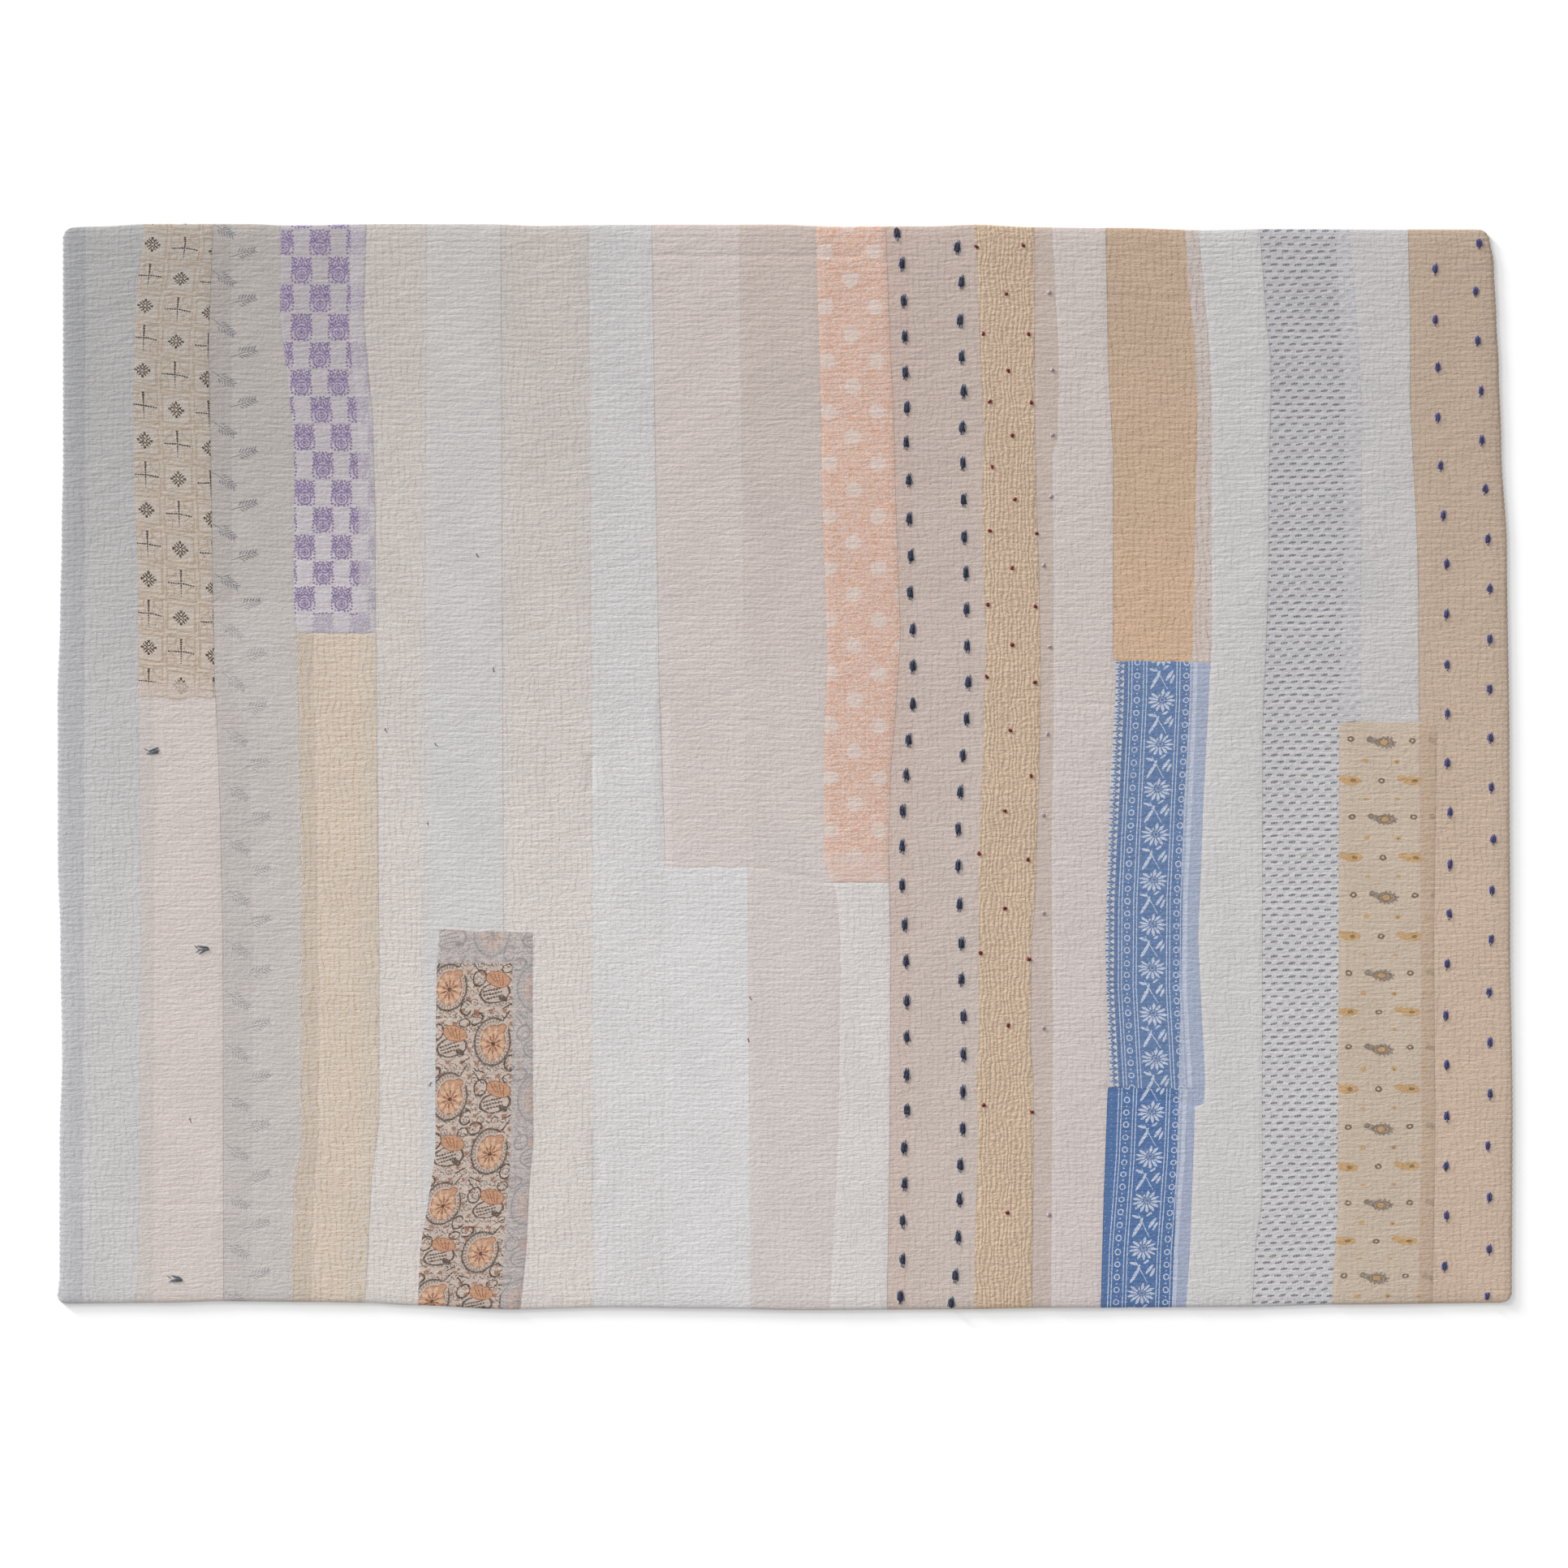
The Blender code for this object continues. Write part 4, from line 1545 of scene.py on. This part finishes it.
def cloth_strips() -> list[ClothStrip]:
    """Lists every strip and patch, from left to right.

    Returns:
        The strips, still to be built.
    """
    sides = (4.0, 4.0, 0.0, 0.0)
    return [
        ClothStrip(
            "strip_plain_grey", GREY, None, GREY_RIGHT, tucks=(0, 4, 0, 0),
            left_band=line((0, 45), (1606, 40)),
        ),
        ClothStrip(
            "patch_lattice", LATTICE_COTTON, GREY_RIGHT, LATTICE_RIGHT, near=709, lift=0.36, veil_near=679,
            print_line=line(
                (30, 143.6), (122, 132.4), (218, 128.2), (320, 132), (424, 134.2), (524, 137.6)
            ),
            steps=(30, 121, 217, 320, 425, 526), print_slope=0.14,
        ),
        ClothStrip(
            "patch_pale_pink", PINK, GREY_RIGHT, LATTICE_RIGHT, far=709, lift=0.2, tucks=(0, 0, 7, 0),
            left_band=PINK_BAND,
        ),
        ClothStrip(
            "strip_leaf_sprig", SPRIG_COTTON, LATTICE_RIGHT, SPRIG_RIGHT, tucks=sides,
            veil_near=560, left_band=SPRIG_BAND,
            print_line=line((42, 285), (490, 287), (650, 300), (880, 306), (1122, 306), (1600, 305)),
            steps=(
                44, 115, 192, 266, 342, 419, 491, 563, 638, 714, 797, 880, 955, 1030, 1106, 1186, 1262,
                1334, 1411, 1481, 1553,
            ),
        ),
        ClothStrip(
            "patch_bouquet", BOUQUET_COTTON, SPRIG_RIGHT, BOUQUET_RIGHT, near=607, lift=0.36,
            veil_line=BOUQUET_VEIL, veil_near=577,
            print_line=line((0, 391), (150, 391), (236, 390), (316, 395), (480, 395.5), (607, 395.5)),
            steps=(28.3, 68.8, 110.4, 153.3, 194.5, 236, 275.8, 316.3, 356.8, 397.2, 437.4, 477.9, 515.9),
        ),
        ClothStrip(
            "patch_cream", CREAM, SPRIG_RIGHT, BOUQUET_RIGHT, far=607, lift=0.2, tucks=(0, 0, 7, 0),
            left_band=CREAM_TAN, right_band=CREAM_PINK,
        ),
        ClothStrip("strip_faint_1", FAINT_CREAM, BOUQUET_RIGHT, FAINT_1, tucks=sides),
        ClothStrip("strip_faint_2", FAINT_COOL, FAINT_1, FAINT_2, lift=0.15),
        ClothStrip("strip_faint_3", FAINT_CREAM, FAINT_2, FAINT_3, tucks=sides),
        ClothStrip("strip_faint_4", FAINT_WHITE, FAINT_3, FAINT_4, lift=0.15),
        ClothStrip("patch_faint_5", FAINT_BLUSH, FAINT_4, FAINT_5, near=953, tucks=(4, 4, 0, 7)),
        ClothStrip("patch_faint_6", FAINT_CLEAR, FAINT_4, FAINT_5, far=953, lift=0.15),
        ClothStrip("strip_beige", BEIGE, FAINT_5, PEACH_LEFT, lift=0.2, tucks=(0, 4, 0, 0)),
        ClothStrip(
            "patch_floral", FLORAL_COTTON, FLORAL_LEFT, FLORAL_RIGHT, far=1049, lift=0.42,
            veil_line=FLORAL_VEIL, veil_far=1094,
            print_line=line((1049, 582), (1292, 583), (1450, 573), (1590, 556)),
            steps=(1130, 1292, 1450, 1590),
        ),
        ClothStrip(
            "patch_peach", PEACH_COTTON, PEACH_LEFT, PEACH_RIGHT, near=970, lift=0.44, veil_near=929,
            print_line=line((0, 1136), (300, 1143), (1000, 1146)), steps=(42, 124, 203, 279, 356),
        ),
        ClothStrip(
            "patch_white_low", WHITE_LOW, PEACH_LEFT, PEACH_RIGHT, far=970, lift=0.32, tucks=(0, 0, 7, 0)
        ),
        ClothStrip("strip_dash", DASH_COTTON, PEACH_RIGHT, DASH_RIGHT, tucks=sides, left_band=DASH_BAND),
        ClothStrip("strip_cream_ribbed", CREPE_COTTON, DASH_RIGHT, CREPE_RIGHT, lift=0.3),
        ClothStrip("strip_sheer", SHEER_COTTON, CREPE_RIGHT, SHEER_RIGHT, tucks=sides),
        ClothStrip("strip_blush", BLUSH_COTTON, SHEER_RIGHT, BLUSH_RIGHT, lift=0.3),
        ClothStrip(
            "patch_amber", AMBER_COTTON, BLUSH_RIGHT, AMBER_RIGHT, near=645, tucks=(4, 4, 0, 7),
            veil_line=AMBER_VEIL,
        ),
        ClothStrip(
            "patch_border_far", BORDER_COTTON, BLUSH_RIGHT, AMBER_RIGHT, far=645, near=1279, lift=0.18,
            tucks=(4, 4, 0, 0), veil_line=AMBER_VEIL,
            print_line=line(
                (645, 1636), (704, 1635), (830, 1629), (1000, 1621), (1130, 1620), (1279, 1628)
            ),
            steps=(704, 770, 838, 905, 972, 1037, 1103, 1170, 1235),
        ),
        ClothStrip(
            "patch_border_near", BORDER_PLAIN, BLUSH_RIGHT, AMBER_RIGHT, far=1279, tucks=(4, 4, 7, 0),
            veil_line=AMBER_VEIL,
            print_line=line((1279, 1621), (1380, 1617), (1515, 1607), (1600, 1604)),
            steps=(1313, 1380, 1445, 1514, 1581),
        ),
        ClothStrip("strip_cool_white", WHITE_COTTON, AMBER_RIGHT, WHITE_RIGHT, lift=0.3),
        ClothStrip(
            "strip_small_motif", MOTIF_COTTON, WHITE_RIGHT, MOTIF_RIGHT, tucks=sides,
            veil_line=MOTIF_VEIL,
        ),
        ClothStrip(
            "patch_soft_white", WHITE_SHORT, MOTIF_RIGHT, TAN_LEFT, near=738, lift=0.2, tucks=(0, 0, 0, 7)
        ),
        ClothStrip(
            "patch_paisley", PAISLEY_COTTON, MOTIF_RIGHT, TAN_LEFT, far=738, lift=0.34,
            veil_line=PAISLEY_VEIL,
            print_line=line((766, 1960), (994, 1964), (1100, 1957), (1450, 1956), (1600, 1947)),
            steps=(766, 880, 994, 1109, 1219, 1336, 1450, 1558),
        ),
        ClothStrip("strip_tan", TAN_COTTON, TAN_LEFT, None, tucks=(4, 0, 0, 0)),
    ]


@dataclass
class Backing:
    """The quilt's underside: one plain cloth, drawn up a little at each row."""

    name: str = "backing_cloth"
    columns: int = 40
    inset: float = 1.6
    thickness: float = 0.5
    drawn_up: float = 0.9
    piece: bpy.types.Object | None = field(default=None, init=False)

    def build(self) -> bpy.types.Object:
        """Makes the sheet, with its rim inside the strips' turned edges.

        Returns:
            The sheet.
        """
        lines = np.clip(np.arange(0.0, ROWS + 0.01, 0.5), 0.2, ROWS - 0.2)
        mesh, column, row = blank_sheet(self.name, self.columns, lines, face_down=True)
        left, right = FACE.sides(row)
        x = left + self.inset + (right - left - 2 * self.inset) * column / self.columns
        points = FACE.seat(x, row, self.drawn_up * (1 - FACE.puff(row)))
        inside = np.full_like(x, 9.0)
        self.piece = lay_sheet(mesh, points, {
            "print": (x, FACE.down_at(x, row)),
            "rows": (x, row),
            "cover": (-inside, inside),
            "bands": (-inside, -inside),
        })
        wall = self.piece.modifiers.new("cloth", "SOLIDIFY")
        wall.thickness = self.thickness * MM
        wall.offset = -1.0
        return self.piece

    def dress(self) -> None:
        """Gives the underside a plain, washed ground cloth."""
        self.piece.data.materials.append(GROUND_COTTON.material())


@dataclass(frozen=True)
class Yarn:
    """Spun cotton thread: matt, and a little uneven in its dye."""

    name: str
    colour: str
    dark: str

    def material(self) -> bpy.types.Material:
        """Draws the thread's material.

        Returns:
            The material.
        """
        # Its fibres scatter the light, so it has no shine.
        draft = Draft(self.name, 0.9, 0.2, 0.05)
        place = draft.add("TexCoord", output="Object")
        # Dye takes unevenly over a few millimetres of yarn.
        noise = draft.add("TexNoise", place, named={"Scale": 240.0, "Detail": 2.0})
        dyed = draft.add("MapRange", noise, 0.35, 0.65)
        return draft.finished(draft.dyed(linear(self.dark), (linear(self.colour), dyed, "MIX")))


def lift_at(strips: list[ClothStrip], x: np.ndarray, row: np.ndarray) -> np.ndarray:
    """How far above the lowest strips the uppermost cloth lies.

    Args:
        strips: Every strip and patch.
        x: Distances from the left side.
        row: Stitch rows from the far end.

    Returns:
        The lift at each point, in mm.
    """
    highest = np.zeros_like(x, dtype=float)
    for strip in strips:
        far, near = strip.rows()
        edge = strip.edge_distance(x, row)
        here = (edge >= 0) & (row >= far) & (row <= near)
        highest = np.where(here, np.maximum(highest, strip.raised(edge)), highest)
    return highest


def strewn(
    name: str, seed: bpy.types.Mesh, places: np.ndarray, turns: np.ndarray, sizes: np.ndarray
) -> bpy.types.Object:
    """Makes one mesh of many copies of a small one.

    Args:
        name: The new piece's name.
        seed: The mesh to copy.
        places: Where each copy lies, in metres.
        turns: Each copy's turns about X, Y and Z.
        sizes: Each copy's scale along its own axes.

    Returns:
        The new piece, with its place in its mesh.
    """
    points = bpy.data.meshes.new(name + "_places")
    points.vertices.add(len(places))
    points.vertices.foreach_set("co", places.astype(np.float32).ravel())
    for label, values in (("turn", turns), ("size", sizes)):
        layer = points.attributes.new(label, "FLOAT_VECTOR", "POINT")
        layer.data.foreach_set("vector", values.astype(np.float32).ravel())
    holder, pattern = linked(name + "_holder", points), linked(name + "_pattern", seed)
    tree = bpy.data.node_groups.new(name, "GeometryNodeTree")
    for way in ("INPUT", "OUTPUT"):
        tree.interface.new_socket("Geometry", in_out=way, socket_type="NodeSocketGeometry")
    start = add_node(tree, "NodeGroupInput")
    source = add_node(tree, "GeometryNodeObjectInfo", pattern, output="Geometry")
    read = {"output": "Attribute", "data_type": "FLOAT_VECTOR"}
    turn, size = (
        add_node(tree, "GeometryNodeInputNamedAttribute", label, **read) for label in ("turn", "size")
    )
    turned = add_node(tree, "FunctionNodeEulerToRotation", turn)
    named = {"Instance": source, "Rotation": turned, "Scale": size}
    spread = add_node(tree, "GeometryNodeInstanceOnPoints", start, named=named)
    add_node(tree, "NodeGroupOutput", add_node(tree, "GeometryNodeRealizeInstances", spread))
    holder.modifiers.new("strew", "NODES").node_group = tree
    bpy.context.view_layer.update()
    mesh = bpy.data.meshes.new_from_object(holder.evaluated_get(bpy.context.evaluated_depsgraph_get()))
    mesh.name = name
    mesh.materials.clear()
    mesh.shade_smooth()
    for helper in (holder, pattern):
        bpy.data.objects.remove(helper, do_unlink=True)
    bpy.data.node_groups.remove(tree)
    return linked(name, mesh)


def spindle(sides: int, rings: int) -> bpy.types.Mesh:
    """Makes a thread with blunt ends, 2 long along X and 2 thick, to be scaled.

    Args:
        sides: How many sides it has around.
        rings: How many rings of faces it has along.

    Returns:
        Its mesh.
    """
    thread = bmesh.new()
    bmesh.ops.create_uvsphere(thread, u_segments=sides, v_segments=rings, radius=1.0)
    upright = Matrix.Rotation(math.pi / 2, 3, "Y")
    bmesh.ops.rotate(thread, verts=thread.verts, cent=(0, 0, 0), matrix=upright)
    for point in thread.verts:
        point.co.x = math.copysign(min(1.0, 1.25 * abs(point.co.x)), point.co.x)
    mesh = bpy.data.meshes.new("spindle")
    thread.to_mesh(mesh)
    thread.free()
    return mesh


@dataclass
class RunningStitch:
    """Rows of running stitch, one every nine millimetres, in two worn thread colours."""

    strips: list[ClothStrip]
    half_length: float = 2.1
    # The real thread is some 0.4 mm thick and is drawn thicker, so that it shows.
    half_thick: float = 0.24
    pieces: list[bpy.types.Object] = field(default_factory=list)

    def build(self) -> list[bpy.types.Object]:
        """Lays every stitch in the trough of its row.

        Returns:
            A piece for each thread colour.
        """
        rng = np.random.default_rng(7)
        rows, places = [], []
        for row in range(1, ROWS):
            left, right = FACE.sides(np.array([float(row)]))
            x = np.arange(left[0] + 7, right[0] - 6, STITCH_STEP)
            x = x + 1.6 * np.sin(row * 0.13) + rng.normal(0, 0.5, len(x))
            places.append(x)
            rows.append(np.full(len(x), float(row)))
        x, row = np.concatenate(places), np.concatenate(rows)
        # The colours change in broad drifts, with strays of each in the other.
        shade = (np.sin(x / 190.0 + 0.6) + 0.6 * np.sin(row / 17.0) + rng.normal(0, 0.5, len(x))) > 0.25
        seed = spindle(3, 2)
        for name, chosen, yarn in (
            ("stitches_cream", shade, Yarn("cotton_thread_cream", "#c4bcb5", "#b3aaa2")),
            ("stitches_grey", ~shade, Yarn("cotton_thread_pale_grey", "#b7b5b5", "#a4a2a2")),
        ):
            self.pieces.append(self.laid(name, seed, x[chosen], row[chosen], rng))
            self.pieces[-1].data.materials.append(yarn.material())
        return self.pieces

    def laid(
        self, name: str, seed: bpy.types.Mesh, x: np.ndarray, row: np.ndarray, rng: np.random.Generator
    ) -> bpy.types.Object:
        """Lays one thread colour's stitches.

        Args:
            name: The piece's name.
            seed: One stitch's mesh.
            x: Each stitch's distance from the left side.
            row: Its row.
            rng: The draw that varies their lengths.

        Returns:
            The stitches, as one piece.
        """
        lift = lift_at(self.strips, x, row)
        middle = FACE.place(x, row, lift)
        run = FACE.place(x + 2.0, row, lift) - middle
        turn = np.arctan2(run[:, 1], run[:, 0])
        tip = -np.arctan2(run[:, 2], np.hypot(run[:, 0], run[:, 1]))
        middle[:, 2] += 0.02 * MM
        long = self.half_length * MM * rng.uniform(0.75, 1.15, len(x))
        thick = np.full_like(long, self.half_thick * MM)
        # Worn flat into the cloth.
        sizes = np.stack([long, 1.2 * thick, 0.45 * thick], -1)
        return strewn(name, seed, middle, np.stack([np.zeros_like(turn), tip, turn], -1), sizes)


class Spot(NamedTuple):
    """The middle of one woven or sewn mark."""

    x: float
    down: float


def spots(*pairs: tuple[float, float]) -> tuple[Spot, ...]:
    """Spots from (x, down) pairs."""
    return tuple(Spot(*pair) for pair in pairs)


class Strand(NamedTuple):
    """One length of thread in a mark: its middle and half sizes (mm), and its turn.

    The turn is in degrees, clockwise from pointing right.
    """

    x: float
    down: float
    half_long: float
    half_thick: float
    turn: float


def strands(*rows: tuple[float, ...]) -> tuple[Strand, ...]:
    """Strands from rows of their numbers."""
    return tuple(Strand(*row) for row in rows)


DASHES = spots(
    (1244, 14), (1251, 59), (1253, 114), (1255, 167), (1256, 220), (1258, 272), (1257, 323),
    (1261, 379), (1262, 436), (1264, 491), (1263, 545), (1267, 600), (1267, 654), (1267, 710),
    (1261, 763), (1257, 815), (1252, 868), (1251, 920), (1251, 978), (1255, 1036), (1257, 1090),
    (1258, 1149), (1258, 1202), (1258, 1258), (1258, 1310), (1254, 1366), (1255, 1419),
    (1252, 1474), (1252, 1531), (1249, 1586), (1333, 35), (1339, 86), (1337, 143), (1339, 197),
    (1342, 248), (1340, 301), (1341, 354), (1342, 408), (1343, 463), (1345, 516), (1346, 570),
    (1347, 624), (1349, 678), (1346, 732), (1341, 786), (1337, 840), (1334, 895), (1334, 949),
    (1336, 1006), (1339, 1064), (1339, 1117), (1342, 1172), (1342, 1228), (1341, 1283),
    (1341, 1338), (1337, 1391), (1336, 1442), (1334, 1498), (1330, 1555), (1324, 1596),
)
RED_KNOTS = spots(
    (1361, 34), (1430, 32), (1405, 104), (1371, 163), (1438, 163), (1408, 217), (1381, 263),
    (1442, 264), (1414, 313), (1384, 359), (1418, 407), (1381, 454), (1450, 458), (1414, 509),
    (1378, 563), (1448, 566), (1414, 623), (1376, 670), (1448, 678), (1411, 749), (1442, 816),
    (1403, 868), (1365, 931), (1437, 940), (1403, 1012), (1367, 1078), (1439, 1087), (1408, 1185),
    (1372, 1303), (1443, 1313), (1407, 1462),
)
FADED_KNOTS = spots(
    (1468, 102), (1473, 216), (1473, 312), (1471, 403), (1460, 505), (1469, 625), (1466, 754),
    (1460, 874), (1460, 1019), (1460, 1189), (1468, 1465),
)
TUFTS = spots(
    (2039, 67), (2039, 142), (2043, 212), (2043, 286), (2047, 358), (2051, 431), (2056, 503),
    (2056, 577), (2057, 652), (2057, 724), (2057, 797), (2061, 870), (2061, 947), (2060, 1020),
    (2057, 1094), (2055, 1170), (2056, 1243), (2056, 1319), (2055, 1393), (2056, 1466),
    (2053, 1541), (2104, 29), (2099, 100), (2102, 173), (2107, 247), (2108, 320), (2113, 392),
    (2117, 466), (2120, 539), (2120, 614), (2120, 688), (2121, 760), (2122, 833), (2125, 910),
    (2123, 985), (2122, 1058), (2119, 1136), (2120, 1210), (2120, 1286), (2117, 1363),
    (2119, 1439), (2119, 1516), (2116, 1591),
)
LEAVES = spots((143, 780), (217, 1072), (177, 1560))
SLUBS = spots(
    (488, 749), (1027, 1145), (1024, 1207), (554, 1272), (623, 490), (647, 659), (562, 770),
    (550, 887), (199, 1325),
)
# Loose ends all along the cream patch's frayed side.
FRAYS = spots(
    *((float(straight(SPRIG_RIGHT, np.array(down))) + 1, down) for down in np.arange(620, 1590, 8.0))
)

# A ragged knot of thick thread, carried up and down and bound across.
DASH_STRANDS = strands(
    (-2.6, -0.6, 6.6, 1.5, 94), (2.6, 0.6, 6.6, 1.5, 86), (0, 0, 8, 2, 90),
    (-1.3, 3.6, 4.6, 1.7, 84), (1.3, -3.6, 4.6, 1.7, 96), (0, -5.4, 3.4, 1.5, 14),
    (0, 5.6, 3.2, 1.4, -14),
)
# The worn grey ends of a dash or a tuft, around its darker middle.
DASH_ENDS = strands(
    (1.8, -8.4, 3, 1.6, 82), (-1.2, -8, 2.6, 1.4, 100), (4.2, 1, 5.6, 0.8, 88),
    (-4.2, -1, 5.6, 0.8, 92), (0.8, 8.4, 3, 1.5, 84), (-2, 8, 2.6, 1.3, 97),
)
TUFT_ENDS = strands(
    (0.8, -6.4, 2.2, 1.4, 84), (-0.8, 6.6, 2.4, 1.5, 96), (3.6, 0.8, 3.8, 0.8, 88),
    (-3.6, -0.8, 3.8, 0.8, 92),
)
KNOT_STRANDS = strands(
    (0, 0, 3, 1.8, 0), (0, 0, 3, 1.7, 60), (0, 0, 2.9, 1.7, 120),
    (2.2, 1.8, 2.2, 0.35, 40),
)
TUFT_STRANDS = strands(
    (-2.1, 0.3, 5.4, 1.5, 90), (2.1, -0.3, 5.4, 1.5, 90), (0, 0, 6.6, 1.8, 90),
    (-1, -2.6, 3.6, 1.5, 90), (1, 2.6, 3.6, 1.5, 90),
)
LEAF_STRANDS = strands(
    (1, -3.2, 8, 1.5, 14), (2, 3, 7.6, 1.5, -16), (4, 0, 6, 2, 0),
    (-1, 0.4, 6, 1.3, -5), (-9.5, -3, 4, 0.7, 28), (-7, 3, 3, 0.6, -40),
)
SLUB_STRANDS = strands((0, 0, 3.6, 0.5, 82), (0.8, 1.6, 2.6, 0.4, 55), (-0.6, -1.4, 2, 0.4, 110))
FRAY_STRANDS = strands((0, 0, 5, 0.25, 75), (-1.6, 3, 3.2, 0.22, 130))


@dataclass
class SewnMarks:
    """Marks of thick thread worked on the cloth, each from the same few short strands."""

    name: str
    yarn: Yarn
    spots: tuple[Spot, ...]
    strands: tuple[Strand, ...]
    looseness: float = 0.3
    tousle: float = 7.0
    piece: bpy.types.Object | None = field(default=None, init=False)

    def build(self, strips: list[ClothStrip]) -> bpy.types.Object:
        """Lays every mark's strands on the uppermost cloth.

        Args:
            strips: The strips that the marks lie on.

        Returns:
            The marks, as one piece.
        """
        rng = np.random.default_rng(len(self.spots))
        spot = np.repeat(np.array(self.spots), len(self.strands), axis=0)
        strand = np.tile(np.array(self.strands), (len(self.spots), 1))
        count = len(strand)
        x = spot[:, 0] + strand[:, 0] + rng.normal(0, self.looseness, count)
        row = FACE.row_under(x, spot[:, 1] + strand[:, 1] + rng.normal(0, self.looseness, count))
        # No strand overhangs the hem.
        row = np.clip(row, 1.0, ROWS - 1.0)
        middle = FACE.place(x, row, lift_at(strips, x, row))
        middle[:, 2] += 0.2 * strand[:, 3] * MM
        turn = -np.radians(strand[:, 4] + rng.normal(0, self.tousle, count))
        flat = np.zeros(count)
        long = strand[:, 2] * MM * rng.uniform(0.85, 1.12, count)
        thick = strand[:, 3] * MM * rng.uniform(0.85, 1.15, count)
        sizes = np.stack([long, thick, 0.42 * thick], -1)
        self.piece = strewn(self.name, spindle(6, 5), middle, np.stack([flat, flat, turn], -1), sizes)
        return self.piece

    def dress(self) -> None:
        """Gives the marks their yarn."""
        self.piece.data.materials.append(self.yarn.material())


def sewn_marks() -> list[SewnMarks]:
    """Lists every kind of mark that is worked on the cloth.

    Returns:
        The marks, still to be built.
    """
    table = (
        ("knots_navy", "cotton_yarn_navy", "#3a4052", "#232736", DASHES, DASH_STRANDS, 0.3, 5),
        ("knots_navy_ends", "cotton_yarn_worn_grey", "#83828c", "#6d6c76", DASHES, DASH_ENDS, 0.5, 9),
        ("knots_red", "cotton_yarn_dark_red", "#74292e", "#571a1f", RED_KNOTS, KNOT_STRANDS, 0.3, 30),
        ("knots_faded", "cotton_yarn_faded_mauve", "#a8949c", "#998690", FADED_KNOTS, KNOT_STRANDS, 0.3, 30),
        ("tufts_indigo", "cotton_yarn_indigo", "#4a4a72", "#34345a", TUFTS, TUFT_STRANDS, 0.25, 5),
        ("tufts_ends", "cotton_yarn_worn_blue", "#7e7b92", "#6a677f", TUFTS, TUFT_ENDS, 0.5, 9),
        ("marks_slate", "cotton_yarn_slate", "#6a6e75", "#54585f", LEAVES, LEAF_STRANDS, 0.3, 12),
        ("slubs_dark", "cotton_slub_dark", "#71625a", "#574a44", SLUBS, SLUB_STRANDS, 0.4, 20),
        ("frays_white", "cotton_frayed_white", "#d4d0cd", "#c2bdb9", FRAYS, FRAY_STRANDS, 1.6, 28),
    )
    return [SewnMarks(row[0], Yarn(*row[1:4]), *row[4:]) for row in table]


def main() -> None:
    """Builds the quilt's pieces in order, then the floor, lights and camera."""
    logging.basicConfig(level=logging.INFO, format="%(message)s")
    strips = cloth_strips()
    for strip in strips:
        strip.build()
        strip.dress()
    backing = Backing()
    backing.build()
    backing.dress()
    stitches = RunningStitch(strips)
    stitches.build()
    marks = sewn_marks()
    for mark in marks:
        mark.build(strips)
        mark.dress()
    extras = [*(strip.piece for strip in strips), *stitches.pieces, *(mark.piece for mark in marks)]
    for piece in (*extras, backing.piece):
        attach(piece, "root")
        log.info("%s: %d faces", piece.name, len(piece.data.polygons))
    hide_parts("quilt")
    studio()
    write_sizes()


class Lamp(NamedTuple):
    """A distant light: how wide it looks and how high it stands (degrees), and its share of light."""

    name: str
    spread: float
    rise: float
    share: float


# A broad lamp, and a narrower one that skims the cloth and throws the long soft shadow.
LAMPS = (Lamp("low_key", 20, 15, 0.23), Lamp("skimming_key", 7, 6.5, 0.18))
# Both shine from the upper left, this way over the floor.
LIGHT_X = 1.0
LIGHT_Y = -0.93
WORLD_STRENGTH = 0.62
FLOOR_DROP = 0.4
# The camera's height, its film, and what it sees: 1932 pixels at 1.2 mm a pixel.
EYE_HEIGHT = 12.0
FILM = 36.0
VIEW = 2.3184
EYE_SHIFT = (-0.0003, -0.0252)


def studio() -> None:
    """A plain pale floor, soft light from the upper left, and the camera straight above."""
    floor = bmesh.new()
    bmesh.ops.create_grid(floor, x_segments=1, y_segments=1, size=40.0)
    mesh = bpy.data.meshes.new("studio_floor")
    floor.to_mesh(mesh)
    floor.free()
    ground = linked("studio_floor", mesh)
    ground.location.z = -FLOOR_DROP * MM
    paper = Draft("matt_white_paper_floor", 1.0, 0.0)
    paper.shader.inputs["Base Color"].default_value = (1.0, 1.0, 1.0, 1.0)
    ground.data.materials.append(paper.material)
    world = bpy.data.worlds.new("studio")
    world.use_nodes = True
    sky = world.node_tree.nodes["Background"].inputs
    sky["Color"].default_value = (1.0, 1.0, 1.0, 1.0)
    sky["Strength"].default_value = WORLD_STRENGTH
    bpy.context.scene.world = world
    for kind in LAMPS:
        lamp = bpy.data.lights.new(kind.name, "SUN")
        lamp.angle = math.radians(kind.spread)
        rise = math.radians(kind.rise)
        lamp.energy = math.pi * kind.share / math.sin(rise)
        toward = Vector((LIGHT_X, LIGHT_Y, -math.hypot(LIGHT_X, LIGHT_Y) * math.tan(rise)))
        linked(kind.name, lamp).rotation_euler = toward.to_track_quat("-Z", "Y").to_euler()
    eye = bpy.data.cameras.new("above")
    eye.sensor_width = FILM
    eye.lens = FILM * EYE_HEIGHT / VIEW
    camera = linked("above", eye)
    camera.location = (*EYE_SHIFT, EYE_HEIGHT)
    bpy.context.scene.camera = camera
    bpy.context.scene.view_settings.view_transform = "Standard"


def write_sizes() -> None:
    """Updates the view layer."""
    bpy.context.view_layer.update()


if __name__ == "__main__":
    main()
